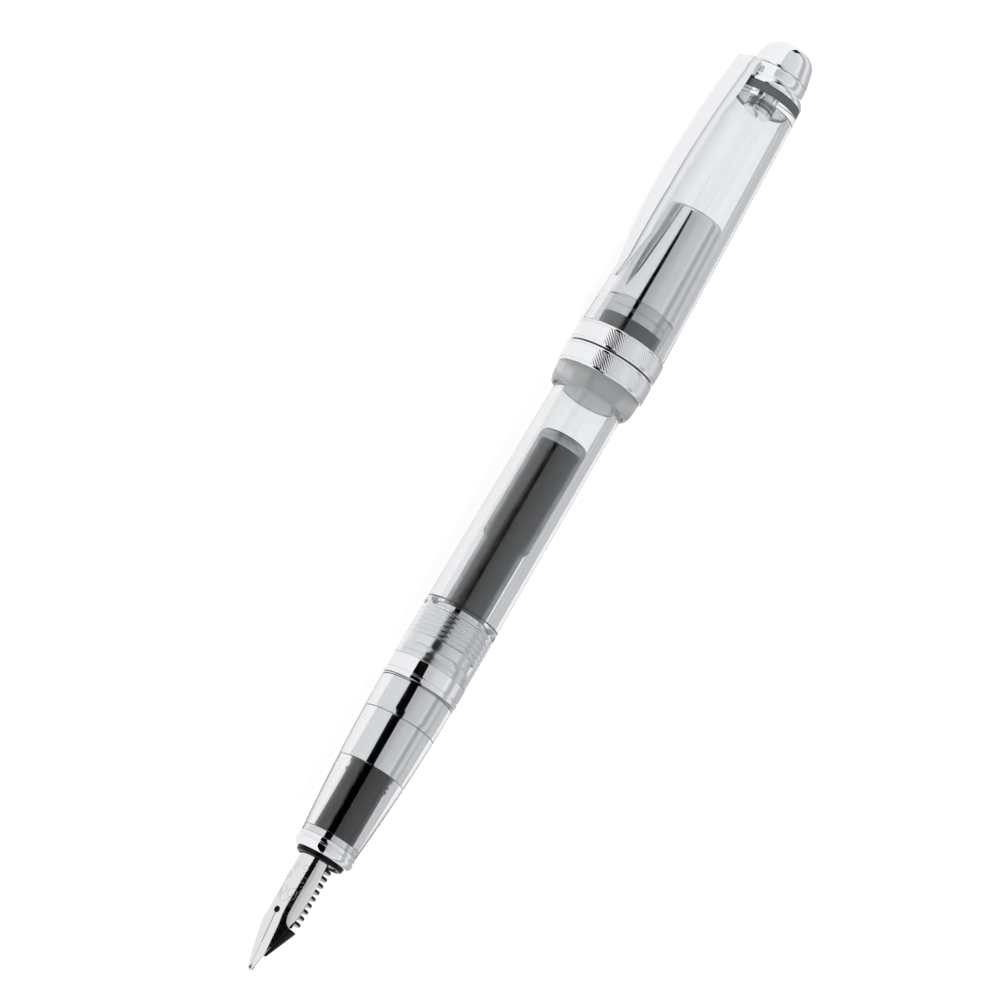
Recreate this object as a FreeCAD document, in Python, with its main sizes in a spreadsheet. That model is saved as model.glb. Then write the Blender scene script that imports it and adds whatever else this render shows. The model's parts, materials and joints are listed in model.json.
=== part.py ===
"""A clear fountain pen with its cap posted on the back of the barrel.

Every piece is modelled along X: the nib's tip is at x = 0 and the finial is at the +X end. The nib and
the clip are modelled pointing up (+Z) and then turned about X. At the end the whole pen is placed so
that it lies on its cap bands and on one edge of the clip, with the origin under its middle.
"""
import FreeCAD, Part
import math
import os
import Sketcher
from types import SimpleNamespace

from FreeCAD import Placement, Rotation, Vector

SIZES = [
    # clearances
    ("run_gap", 0.06, "radial gap between pieces that slide on each other"),
    ("seat_gap", 0.02, "gap between pieces that are fixed to each other"),
    ("edge_round", 0.15, "sagitta of the small rounded edges"),
    # nib and feed
    ("nib_reach", 17.9, "nib tip to the front ring"),
    ("nib_length", 25.0, "whole nib, with the part inside the housing"),
    ("nib_radius", 2.65, "outside of the nib's round body"),
    ("nib_sheet", 0.30, "thickness of the nib's sheet"),
    ("nib_wrap", 180.0, "angle that the nib's body wraps, in degrees"),
    ("nib_tip_height", 1.20, "top of the tip above the pen's axis"),
    ("nib_slope", 5.8, "length of the sloping point"),
    ("nib_tip_width", 0.70, "width at the tip"),
    ("nib_ease", 0.10, "drop of the sheet where the slope meets the round body"),
    ("nib_waist", 7.3, "tip to the back of the straight edges"),
    ("nib_waist_width", 4.6, "width there"),
    ("nib_shoulder", 9.3, "tip to the widest wrap"),
    ("nib_slit", 0.12, "width of the slit"),
    ("breather_place", 8.7, "tip to the breather hole"),
    ("breather_radius", 0.48, "breather hole"),
    ("tipping_radius", 0.40, "ball of hard metal on the tip"),
    ("feed_front", 2.6, "nib tip to the feed's beak"),
    ("feed_beak_radius", 0.45, "beak"),
    ("feed_comb_start", 7.62, "nib tip to the first slot of the comb"),
    ("feed_comb_pitch", 1.015, "comb slot to comb slot"),
    ("feed_comb_slot", 0.615, "width of a slot"),
    ("feed_comb_angle", 200.0, "angle that the slots go round under the feed, in degrees"),
    ("feed_comb_depth", 1.15, "depth of a slot"),
    ("feed_channel", 0.40, "width and depth of the ink channel"),
    # nib housing
    ("housing_wall", 0.40, "wall of the black housing"),
    ("housing_length", 14.35, "whole housing"),
    ("collar_length", 1.05, "front collar of the housing"),
    ("collar_stand", 0.65, "collar in front of the ring"),
    ("collar_step", 0.20, "collar outside the thread"),
    ("housing_thread", 0.25, "height of the housing's thread"),
    ("housing_thread_length", 2.15, "threaded length"),
    ("housing_thread_pitch", 0.62, "thread pitch"),
    ("housing_end_wall", 1.85, "solid back end of the housing"),
    ("tube_radius", 1.10, "piercing tube"),
    ("tube_bore", 0.55, "bore of the piercing tube"),
    ("tube_stand", 7.05, "piercing tube behind the housing"),
    # section
    ("ring_length", 2.1, "front ring that shows"),
    ("ring_bead", 0.18, "front ring outside the grip"),
    ("ring_fullest", 0.63, "front of the ring to its fullest place"),
    ("ring_back_round", 0.09, "sagitta of the ring behind that place"),
    ("ring_tail", 1.0, "thin tail of the front ring inside the grip"),
    ("ring_tail_wall", 0.22, "its wall"),
    ("grip_length", 24.3, "clear grip"),
    ("grip_front_wall", 0.78, "wall at the front of the grip"),
    ("grip_bulge", 0.235, "sagitta of the grip's outline"),
    ("sleeve_front_gap", 0.10, "housing to inner sleeve"),
    ("sleeve_step", 5.1, "trim ring to the step of the sleeve"),
    ("sleeve_thin", 0.30, "sleeve in front of its step, less in radius"),
    ("sleeve_wall", 0.74, "wall of the sleeve behind its step"),
    ("sleeve_end", 0.7, "sleeve that shows behind the thread"),
    ("trim_length", 3.0, "trim ring between grip and barrel"),
    ("trim_flange", 0.65, "its front flange"),
    ("trim_groove", 0.20, "groove behind the flange"),
    ("trim_groove_depth", 0.22, "depth of that groove"),
    ("trim_stand", 0.07, "flange outside the barrel"),
    ("trim_round", 0.075, "sagitta of the flange's rounded rim"),
    ("coupling_wall", 0.40, "coupling's wall under its thread"),
    ("shoulder_length", 2.2, "shoulder of the coupling inside the barrel"),
    ("shoulder_round", 0.73, "length of the shoulder's rounded back"),
    ("shoulder_neck", 0.8, "neck between shoulder and thread"),
    ("thread_length", 5.2, "threaded length of the coupling"),
    ("thread_pitch", 0.72, "pitch"),
    ("thread_height", 0.36, "height"),
    ("thread_gap", 0.18, "coupling's thread to the barrel"),
    # cartridge
    ("cartridge_radius", 3.13, "front part of the cartridge"),
    ("cartridge_back_radius", 3.55, "back part of the cartridge"),
    ("cartridge_gap", 0.17, "cartridge to sleeve"),
    ("cartridge_seat", 1.50, "front of the sleeve to the cartridge"),
    ("cartridge_length", 51.6, "whole cartridge"),
    ("cartridge_front_length", 34.2, "its front part"),
    ("cartridge_cone", 0.6, "cone between both parts"),
    ("cartridge_wall", 0.45, "wall"),
    ("cartridge_mouth", 0.90, "length of its thick mouth"),
    ("cartridge_end_round", 1.3, "rounded back end"),
    ("cartridge_air", 1.25, "air behind the ink"),
    ("ball_radius", 1.25, "sealing ball"),
    ("ball_place", 12.0, "front of the cartridge to the loose ball"),
    # barrel
    ("barrel_length", 58.4, "clear barrel"),
    ("barrel_front_wall", 0.53, "wall over the thread"),
    ("barrel_back_wall", 1.12, "wall at its back"),
    ("barrel_play", 0.45, "cartridge to the bore behind the thread"),
    ("barrel_end_round", 0.35, "rounded back edge"),
    ("barrel_thread_depth", 0.14, "depth of the barrel's own thread"),
    ("socket_play", 0.20, "end of the sleeve to the end of the socket"),
    ("socket_cone", 0.2, "short cone from the socket to the bore"),
    ("tail_ledge", 0.52, "ledge of the socket for the plug"),
    ("tail_tenon", 5.1, "plug's tenon inside the barrel"),
    ("tail_length", 15.7, "plug behind the barrel"),
    ("tail_front_step", 0.35, "barrel outside the plug"),
    ("tail_taper", 0.60, "plug's front radius less its back radius"),
    ("tail_round", 0.60, "rounded back edge of the plug"),
    ("tail_bore", 2.2, "blind bore that lightens the plug"),
    ("tail_floor", 2.0, "solid back end of the plug"),
    ("seal_place", 0.35, "end of the tenon to the seal's groove"),
    ("seal_width", 2.0, "groove for the seal ring"),
    ("seal_depth", 1.35, "depth of that groove"),
    ("tenon_bevel", 0.175, "bevelled front edge of the tenon"),
    # cap
    ("cap_overlap", 14.6, "cap over the back of the barrel"),
    ("cap_length", 49.4, "clear cap, with its mouth ring"),
    ("cap_mouth_gap", 0.23, "barrel to the mouth of the cap"),
    ("cap_post_gap", 0.09, "end of the barrel to the bore that it posts in"),
    ("cap_wall", 1.14, "wall of the clear cap"),
    ("cap_top_radius", 5.28, "outside at its top"),
    ("cap_end_wall", 0.7, "end wall under the gasket"),
    ("lip_length", 2.84, "clear lip in front of the bands"),
    ("lip_wall", 0.40, "wall at the front of the lip"),
    ("lip_step", 0.33, "band outside the lip"),
    ("lip_slope", 1.0, "sloping front of the lip"),
    ("lip_slope_rise", 0.075, "rise of the lip behind that slope"),
    ("mouth_wall", 0.55, "wall of the cap's mouth under the bands"),
    ("band_wall", 0.65, "wall of the bands"),
    ("band_width", 3.2, "one band"),
    ("band_gap", 0.20, "groove between the bands"),
    ("band_edge", 0.20, "plain bevelled edge of a band"),
    ("cap_turn", 19.0, "clip's turn from the top of the nib, in degrees"),
    # top of the cap
    ("gasket_length", 1.3, "dark ring"),
    ("gasket_step", 0.12, "cap outside the dark ring"),
    ("gasket_width", 0.94, "dark ring, from its hole to its outside"),
    ("collar_height", 3.2, "bright conical collar"),
    ("collar_flare", 0.66, "cap's top outside the collar's back"),
    ("collar_slope", 1.26, "front of the collar to the end of its flare"),
    ("collar_taper", 0.17, "taper of the collar behind its flare"),
    ("finial_length", 5.0, "finial"),
    ("finial_shoulder", 2.0, "top to the finial's rounded shoulder"),
    ("finial_taper", 0.46, "finial's front radius less its shoulder"),
    ("finial_round", 0.99, "shoulder's width, out to the edge of the shallow dome"),
    ("finial_dome_drop", 0.45, "top to that edge"),
    ("finial_bulge", 0.30, "sagitta of the shoulder's round"),
    ("screw_radius", 1.25, "finial screw"),
    ("screw_head_radius", 2.1, "its head"),
    ("screw_head", 1.2, "head's thickness"),
    ("screw_reach", 3.6, "screw inside the finial"),
    ("screw_end_gap", 0.10, "end of the screw to the end of its hole"),
    # clip
    ("clip_width", 4.1, "width"),
    ("clip_tip_gap", 7.08, "bands to the tip"),
    ("clip_root_rise", 1.69, "outer face above the cap at the root"),
    ("clip_tip_rise", 0.55, "outer face above the cap at the tip"),
    ("clip_bow", 1.09, "bow of the clip"),
    ("clip_depth", 0.95, "depth of its folded sides"),
    ("clip_sheet", 0.42, "thickness of its sheet"),
    ("clip_root_round", 0.12, "sagitta of the rounded top corner at its root"),
    ("clip_taper_start", 14.4, "tip to the taper"),
    ("clip_neck", 2.9, "tip to the narrow end"),
    ("clip_neck_width", 2.2, "width there"),
    ("clip_point_width", 0.35, "width at the tip"),
    ("clip_foot_front", 0.8, "tip to the front of the foot"),
    ("clip_foot_back", 7.2, "tip to the back of the foot"),
    ("clip_foot_gap", 0.05, "foot above the cap"),
    ("clip_leg", 2.7, "thickness of the leg, along the pen"),
    ("clip_leg_depth", 2.35, "leg inside the collar's outline"),
    ("clip_slot_gap", 0.20, "leg to the sides of its slot"),
]


VEE_SHARE = 0.75  # a thread groove's width as a share of the pitch
VEE_OVERSHOOT = 0.1  # a cutting vee starts this share of its depth off the surface
ROUND_RISE = 1 - math.sqrt(0.5)  # sagitta of a quarter round, as a share of its radius
HEEL_BOW = 0.72  # share of the clip's bow that its face has over the heel
UNDER_BOW = 0.42  # share of the bow that the sides' lower edge has, because it is a shorter arc
HOLLOW_BOW = 0.40  # share of the bow that the hollow's ceiling has
HOLLOW_RISE = 0.05  # share of the bow that the ceiling stands above the face at the root
LEAST_CUT = 1e-4  # mm3: a cut that takes away less than this has missed
ROW_SLACK = 1e-6  # keeps a whole number of turns whole


class Dim:
    """A length with its value now and the spreadsheet expression that gives it."""

    def __init__(self, now, text):
        self.now = now
        self.text = text

    @staticmethod
    def of(value):
        return value if isinstance(value, Dim) else Dim(float(value), str(value))

    def __add__(self, other):
        other = Dim.of(other)
        return Dim(self.now + other.now, f"({self.text} + {other.text})")

    def __sub__(self, other):
        other = Dim.of(other)
        return Dim(self.now - other.now, f"({self.text} - {other.text})")

    def __mul__(self, other):
        other = Dim.of(other)
        return Dim(self.now * other.now, f"({self.text} * {other.text})")

    def __truediv__(self, other):
        other = Dim.of(other)
        return Dim(self.now / other.now, f"({self.text} / {other.text})")

    def __neg__(self):
        return Dim(-self.now, f"(0 - {self.text})")


doc = FreeCAD.newDocument("FountainPen")
sheet = doc.addObject("Spreadsheet::Sheet", "Sizes")
for row, (alias, value, note) in enumerate(SIZES, start=1):
    sheet.set(f"A{row}", alias)
    sheet.set(f"B{row}", str(value))
    sheet.set(f"C{row}", note)
    sheet.setAlias(f"B{row}", alias)
doc.recompute()
s = SimpleNamespace(**{alias: Dim(float(value), f"Sizes.{alias}") for alias, value, note in SIZES})
ZERO = Dim.of(0)
PAST = Dim.of(1)  # mm that a cutting outline runs on past the solid


# ---------------------------------------------------------------- places along the pen
ring_front = s.nib_reach
grip_front = ring_front + s.ring_length
grip_back = grip_front + s.grip_length
barrel_front = grip_back + s.trim_length
barrel_back = barrel_front + s.barrel_length
tail_back = barrel_back + s.tail_length
cap_mouth = barrel_back - s.cap_overlap
lip_back = cap_mouth + s.lip_length
band_split = lip_back + s.band_width
upper_band_front = band_split + s.band_gap
bands_back = upper_band_front + s.band_width
cap_top = cap_mouth + s.cap_length
collar_front = cap_top + s.gasket_length
finial_front = collar_front + s.collar_height
finial_top = finial_front + s.finial_length
housing_front = ring_front - s.collar_stand
housing_back = housing_front + s.housing_length
sleeve_front = housing_back + s.sleeve_front_gap
thread_front = barrel_front + s.shoulder_length + s.shoulder_neck
thread_back = thread_front + s.thread_length
sleeve_back = thread_back + s.sleeve_end
cartridge_front = sleeve_front + s.cartridge_seat
cartridge_neck = cartridge_front + s.cartridge_front_length
cartridge_back = cartridge_front + s.cartridge_length
tenon_front = barrel_back - s.tail_tenon
clip_root = collar_front + s.seat_gap
clip_tip = bands_back + s.clip_tip_gap

# ---------------------------------------------------------------- radii that follow from each other
nib_inside = s.nib_radius - s.nib_sheet
housing_bore = s.nib_radius + s.seat_gap
housing_radius = housing_bore + s.housing_wall
housing_thread_radius = housing_radius + s.housing_thread
section_bore = housing_thread_radius + s.run_gap
collar_radius = housing_thread_radius + s.collar_step
grip_front_radius = section_bore + s.grip_front_wall
sleeve_bore = s.cartridge_radius + s.cartridge_gap
sleeve_radius = sleeve_bore + s.sleeve_wall
coupling_bore = sleeve_radius + s.seat_gap
coupling_root = coupling_bore + s.coupling_wall
thread_radius = coupling_root + s.thread_height
barrel_socket = thread_radius + s.thread_gap
shoulder_radius = barrel_socket - s.run_gap
barrel_front_radius = barrel_socket + s.barrel_front_wall
grip_back_radius = barrel_front_radius - s.trim_stand
barrel_bore = s.cartridge_back_radius + s.barrel_play
barrel_back_radius = barrel_bore + s.barrel_back_wall
tail_socket = barrel_bore + s.tail_ledge
tenon_radius = tail_socket - s.seat_gap
tail_front_radius = barrel_back_radius - s.tail_front_step
tail_back_radius = tail_front_radius - s.tail_taper
barrel_taper = (barrel_front_radius - barrel_back_radius) / s.barrel_length
cap_mouth_bore = barrel_back_radius + barrel_taper * s.cap_overlap + s.cap_mouth_gap
cap_post_bore = barrel_back_radius + s.cap_post_gap
cap_end_bore = s.cap_top_radius - s.cap_wall
band_bore = cap_mouth_bore + s.mouth_wall
band_radius = band_bore + s.band_wall
cap_front_radius = band_radius - s.band_edge
cap_taper = (cap_front_radius - s.cap_top_radius) / (cap_top - bands_back)
collar_back_radius = s.cap_top_radius - s.collar_flare
finial_front_radius = collar_back_radius - s.collar_taper
finial_back_radius = finial_front_radius - s.finial_taper
dome_radius = finial_back_radius - s.finial_round
clip_root_height = s.cap_top_radius + s.clip_root_rise
clip_tip_height = s.cap_top_radius + cap_taper * (cap_top - clip_tip) + s.clip_tip_rise


# ---------------------------------------------------------------- drawing helpers
def place(sketch, kind, first, second, length):
    """Adds one dimension to a sketch and ties it to the spreadsheet."""
    index = sketch.addConstraint(Sketcher.Constraint(kind, *first, *second, length.now))
    sketch.setExpression(f"Constraints[{index}]", length.text)


def arc_between(start, end, rise):
    """The arc that rises to the left of the way from start to end, and whether it runs that way."""
    along = end - start
    left = Vector(-along.y, along.x, 0).normalize()
    radius = (along.Length ** 2 / 4 + rise ** 2) / (2 * abs(rise))
    centre = (start + end) * 0.5 + left * (rise - math.copysign(radius, rise))
    forward = rise < 0
    first, last = (start, end) if forward else (end, start)
    first_angle = math.atan2(first.y - centre.y, first.x - centre.x)
    last_angle = math.atan2(last.y - centre.y, last.x - centre.x)
    if last_angle < first_angle:
        last_angle += 2 * math.pi
    circle = Part.Circle(centre, Vector(0, 0, 1), radius)
    return Part.ArcOfCircle(circle, first_angle, last_angle), forward


def outline(sketch, corners, bulges=None):
    """Draws a closed outline through the corners; bulges gives the sagitta of an edge that is an arc.

    An edge is named by its first corner. A positive sagitta bulges out of the outline, a negative one
    into it.
    """
    bulges = bulges or {}
    points = [Vector(x.now, y.now, 0) for x, y in corners]
    area = sum(a.x * b.y - b.x * a.y for a, b in zip(points, points[1:] + points[:1]))
    outwards = -1 if area > 0 else 1
    ends = []
    for i, start in enumerate(points):
        end = points[(i + 1) % len(points)]
        if i not in bulges:
            edge = sketch.addGeometry(Part.LineSegment(start, end), False)
            ends.append((edge, 1, 2))
            continue
        arc, forward = arc_between(start, end, bulges[i].now * outwards)
        edge = sketch.addGeometry(arc, False)
        ends.append((edge, 1, 2) if forward else (edge, 2, 1))
    for i, (edge, first, last) in enumerate(ends):
        following, next_first, _ = ends[(i + 1) % len(ends)]
        sketch.addConstraint(Sketcher.Constraint("Coincident", edge, last, following, next_first))
    for i, (x, y) in enumerate(corners):
        edge, first, _ = ends[i]
        place(sketch, "DistanceX", (-1, 1), (edge, first), x)
        place(sketch, "DistanceY", (-1, 1), (edge, first), y)
    for i, sagitta in bulges.items():
        (x1, y1), (x2, y2) = corners[i], corners[(i + 1) % len(corners)]
        chord_squared = (x2 - x1) * (x2 - x1) + (y2 - y1) * (y2 - y1)
        size = Dim.of(1) if sagitta.now > 0 else Dim.of(-1)
        rise = sagitta * size
        radius = (chord_squared / 4 + rise * rise) / (rise * 2)
        index = sketch.addConstraint(Sketcher.Constraint("Radius", ends[i][0], radius.now))
        sketch.setExpression(f"Constraints[{index}]", radius.text)


def new_body(name):
    body = doc.addObject("PartDesign::Body", name)
    body.Label = name
    return body


def sketch_on(body, plane, name):
    """A new sketch on one of the body's own origin planes."""
    sketch = body.newObject("Sketcher::SketchObject", name)
    origin_plane = [f for f in body.Origin.OriginFeatures if f.Role == plane][0]
    sketch.AttachmentSupport = [(origin_plane, "")]
    sketch.MapMode = "FlatFace"
    return sketch


def turn(body, corners, bulges=None, angle=None):
    """Revolves an outline, given as (x, radius) corners, about the pen's axis."""
    sketch = sketch_on(body, "XZ_Plane", body.Label + "_section")
    outline(sketch, corners, bulges)
    feature = body.newObject("PartDesign::Revolution", body.Label + "_turned")
    feature.Profile = sketch
    feature.ReferenceAxis = (sketch, ["H_Axis"])
    feature.Midplane = angle is not None
    feature.Angle = 360
    if angle is not None:
        feature.setExpression("Angle", angle.text)
    doc.recompute()
    return body


def groove(body, name, corners, pitch=None, length=None, angle=None, below=False):
    """Cuts a turned groove, and repeats it along the pen when a pitch is given.

    With below, the corners are drawn under the axis, so that an angle is measured from the underside.
    """
    sketch = sketch_on(body, "XZ_Plane", name + "_section")
    outline(sketch, [(x, -radius) for x, radius in corners] if below else corners)
    cut = body.newObject("PartDesign::Groove", name)
    cut.Profile = sketch
    cut.ReferenceAxis = (sketch, ["H_Axis"])
    cut.Midplane = angle is not None
    cut.Angle = 360
    if angle is not None:
        cut.setExpression("Angle", angle.text)
    before = body.Shape.Volume
    doc.recompute()
    if not body.Shape.Volume < before - LEAST_CUT:
        raise RuntimeError(f"{name} cuts nothing")
    if pitch is None:
        return body
    count = int(length.now / pitch.now + ROW_SLACK)
    pattern = body.newObject("PartDesign::LinearPattern", name + "_row")
    pattern.Originals = [cut]
    pattern.Direction = (sketch, ["H_Axis"])
    pattern.Occurrences = count
    pattern.setExpression("Length", (pitch * (count - 1)).text)
    body.Tip = pattern
    doc.recompute()
    return body


def thread(body, name, start, length, pitch, surface, floor):
    """A row of vee grooves from a surface's radius to the floor's, outside a shaft or inside a bore."""
    open_side = surface + (surface - floor) * VEE_OVERSHOOT
    side_gap = pitch * (1 - VEE_SHARE) / 2
    vee = [
        (start + side_gap, open_side),
        (start + pitch / 2, floor),
        (start + pitch - side_gap, open_side),
    ]
    return groove(body, name, vee, pitch, length)


def cut_through(body, name, plane, outlines, width=None):
    """Pockets closed outlines through the body, symmetric about the sketch's plane."""
    sketch = sketch_on(body, plane, name + "_outline")
    for corners, bulges in outlines:
        outline(sketch, corners, bulges)
    pocket = body.newObject("PartDesign::Pocket", name)
    pocket.Profile = sketch
    pocket.SideType = "Symmetric"
    pocket.Type = "ThroughAll" if width is None else "Length"
    if width is not None:
        pocket.setExpression("Length", width.text)
    before = body.Shape.Volume
    doc.recompute()
    if not body.Shape.Volume < before - LEAST_CUT:
        raise RuntimeError(f"{name} cuts nothing")
    return body


def rectangle(x1, x2, y1, y2):
    return [(x1, y1), (x2, y1), (x2, y2), (x1, y2)]


def tube(name, start, end, inside, outside):
    return turn(new_body(name), rectangle(start, end, inside, outside))


# ---------------------------------------------------------------- nib, feed and housing
def make_nib():
    """Sheet rolled round the axis; the point slopes down and is trimmed to its outline from above."""
    tip_inside = s.nib_tip_height - s.nib_sheet
    body = turn(
        new_body("nib"),
        [
            (ZERO, tip_inside),
            (s.nib_slope, nib_inside - s.nib_ease),
            (s.nib_waist, nib_inside),
            (s.nib_length, nib_inside),
            (s.nib_length, s.nib_radius),
            (s.nib_waist, s.nib_radius),
            (s.nib_slope, s.nib_radius - s.nib_ease),
            (ZERO, s.nib_tip_height),
        ],
        angle=s.nib_wrap,
    )
    outside = s.nib_radius * 2
    tip_edge = s.nib_tip_width / 2
    waist_edge = s.nib_waist_width / 2
    sides = []
    for side in (1, -1):
        sides.append(
            (
                [
                    (-PAST, tip_edge * side),
                    (ZERO, tip_edge * side),
                    (s.nib_waist, waist_edge * side),
                    (s.nib_shoulder, outside * side),
                    (-PAST, outside * side),
                ],
                None,
            )
        )
    cut_through(body, "nib_point", "XY_Plane", sides)
    slit = rectangle(-PAST, s.breather_place, -(s.nib_slit / 2), s.nib_slit / 2)
    cut_through(body, "nib_slit", "XY_Plane", [(slit, None)])
    sketch = sketch_on(body, "XY_Plane", "breather_outline")
    circle = Part.Circle(Vector(s.breather_place.now, 0, 0), Vector(0, 0, 1), s.breather_radius.now)
    edge = sketch.addGeometry(circle, False)
    place(sketch, "DistanceX", (-1, 1), (edge, 3), s.breather_place)
    sketch.addConstraint(Sketcher.Constraint("PointOnObject", edge, 3, -1))
    index = sketch.addConstraint(Sketcher.Constraint("Radius", edge, s.breather_radius.now))
    sketch.setExpression(f"Constraints[{index}]", s.breather_radius.text)
    pocket = body.newObject("PartDesign::Pocket", "breather")
    pocket.Profile = sketch
    pocket.SideType = "Symmetric"
    pocket.Type = "ThroughAll"
    doc.recompute()
    return body


def make_tipping():
    """A pellet under the tip, welded to it."""
    ball = doc.addObject("Part::Sphere", "tipping_ball")
    ball.setExpression("Radius", s.tipping_radius.text)
    ball.setExpression("Placement.Base.x", s.tipping_radius.text)
    height = s.nib_tip_height - s.nib_sheet
    ball.setExpression("Placement.Base.z", height.text)
    half_seat = s.tipping_radius * 2
    seat = doc.addObject("Part::Box", "tipping_seat")
    for side in ("Length", "Width", "Height"):
        seat.setExpression(side, (half_seat * 2).text)
    seat.setExpression("Placement.Base.x", (-half_seat).text)
    seat.setExpression("Placement.Base.y", (-half_seat).text)
    seat.setExpression("Placement.Base.z", (height - s.seat_gap).text)
    cut = doc.addObject("Part::Cut", "nib_tipping")
    cut.Base = ball
    cut.Tool = seat
    cut.Label = "nib_tipping"
    doc.recompute()
    return cut


def make_feed():
    """Black feed: a round bar with a beak, comb slots below and an ink channel on top."""
    radius = nib_inside - s.seat_gap
    back = housing_back - s.housing_end_wall
    body = turn(
        new_body("feed"),
        [
            (s.feed_front, ZERO),
            (s.feed_front, s.feed_beak_radius),
            (s.nib_waist, radius - s.nib_ease),
            (s.nib_waist + s.nib_sheet, radius),
            (back, radius),
            (back, ZERO),
        ],
    )
    inside = radius - s.feed_comb_depth
    slot = rectangle(s.feed_comb_start, s.feed_comb_start + s.feed_comb_slot, inside, s.nib_radius * 2)
    comb_length = housing_front - s.feed_comb_start
    groove(body, "comb", slot, s.feed_comb_pitch, comb_length,
           angle=s.feed_comb_angle, below=True)
    channel = rectangle(s.feed_front, back + PAST, radius - s.feed_channel, radius * 2)
    cut_through(body, "ink_channel", "XZ_Plane", [(channel, None)], width=s.feed_channel)
    return body


def make_housing():
    bore_end = housing_back - s.housing_end_wall
    collar_back = housing_front + s.collar_length
    thread_start = housing_back - s.housing_thread_length
    tube_hole = s.tube_radius + s.seat_gap
    chamfer = s.collar_step
    body = turn(
        new_body("nib_housing"),
        [
            (housing_front, housing_bore),
            (bore_end, housing_bore),
            (bore_end, tube_hole),
            (housing_back, tube_hole),
            (housing_back, housing_thread_radius),
            (thread_start, housing_thread_radius),
            (thread_start, housing_radius),
            (collar_back, housing_radius),
            (collar_back, collar_radius),
            (housing_front + chamfer, collar_radius),
            (housing_front, collar_radius - chamfer),
        ],
    )
    return thread(body, "housing_thread_cut", thread_start, s.housing_thread_length,
                  s.housing_thread_pitch, housing_thread_radius, housing_radius)


# ---------------------------------------------------------------- section
def make_front_ring():
    seat = ring_front + s.collar_length - s.collar_stand + s.seat_gap
    outside = grip_front_radius + s.ring_bead
    tail_outside = section_bore + s.ring_tail_wall
    corners = [
        (ring_front, collar_radius + s.run_gap),
        (seat, collar_radius + s.run_gap),
        (seat, section_bore),
        (grip_front + s.ring_tail, section_bore),
        (grip_front + s.ring_tail, tail_outside),
        (grip_front, tail_outside),
        (grip_front, grip_front_radius),
        (ring_front + s.ring_fullest, outside),
        (ring_front, grip_front_radius - s.ring_bead),
    ]
    return turn(new_body("section_front_ring"), corners, {6: s.ring_back_round, 7: s.edge_round})


def make_grip():
    ring_hole = section_bore + s.ring_tail_wall + s.seat_gap
    ring_end = grip_front + s.ring_tail + s.seat_gap
    thread_start = housing_back - s.housing_thread_length
    step = grip_back - s.sleeve_step
    thin_hole = sleeve_radius - s.sleeve_thin + s.seat_gap
    sleeve_hole = sleeve_radius + s.seat_gap
    corners = [
        (grip_front, ring_hole),
        (ring_end, ring_hole),
        (ring_end, section_bore),
        (sleeve_front - s.seat_gap, section_bore),
        (sleeve_front - s.seat_gap, thin_hole),
        (step, thin_hole),
        (step, sleeve_hole),
        (grip_back, sleeve_hole),
        (grip_back, grip_back_radius),
        (grip_front, grip_front_radius),
    ]
    body = turn(new_body("grip_section"), corners, {8: s.grip_bulge})
    return thread(body, "grip_thread", thread_start, s.housing_thread_length, s.housing_thread_pitch,
                  section_bore, section_bore + s.housing_thread)


def make_sleeve():
    step = grip_back - s.sleeve_step + s.seat_gap
    thin = sleeve_radius - s.sleeve_thin
    corners = [
        (sleeve_front, sleeve_bore),
        (sleeve_back, sleeve_bore),
        (sleeve_back, sleeve_radius),
        (step, sleeve_radius),
        (step, thin),
        (sleeve_front, thin),
    ]
    return turn(new_body("section_sleeve"), corners)


def make_trim_ring():
    trim_hole = coupling_root + s.seat_gap
    flange = barrel_front_radius + s.trim_stand
    barrel_side = barrel_front_radius + s.trim_stand / 2
    flange_back = grip_back + s.trim_flange
    groove_back = flange_back + s.trim_groove
    floor = barrel_front_radius - s.trim_groove_depth
    corners = [
        (grip_back, trim_hole),
        (barrel_front, trim_hole),
        (barrel_front, barrel_side - s.edge_round),
        (barrel_front - s.edge_round, barrel_side),
        (groove_back, barrel_side),
        (groove_back, floor),
        (flange_back, floor),
        (flange_back, flange),
        (grip_back, flange - s.edge_round),
    ]
    return turn(new_body("section_trim_ring"), corners, {7: s.trim_round})


def make_coupling():
    """Metal coupling on the sleeve: spigot under the trim ring, shoulder, neck and thread."""
    shoulder_back = barrel_front + s.shoulder_length
    corners = [
        (grip_back + s.seat_gap, coupling_bore),
        (thread_back, coupling_bore),
        (thread_back, thread_radius),
        (thread_front, thread_radius),
        (thread_front, coupling_root),
        (shoulder_back, coupling_root),
        (shoulder_back - s.shoulder_round, shoulder_radius),
        (barrel_front, shoulder_radius),
        (barrel_front, coupling_root),
        (grip_back + s.seat_gap, coupling_root),
    ]
    body = turn(new_body("threaded_coupling"), corners, {5: s.edge_round})
    return thread(body, "coupling_thread", thread_front, s.thread_length, s.thread_pitch,
                  thread_radius, coupling_root)


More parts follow.
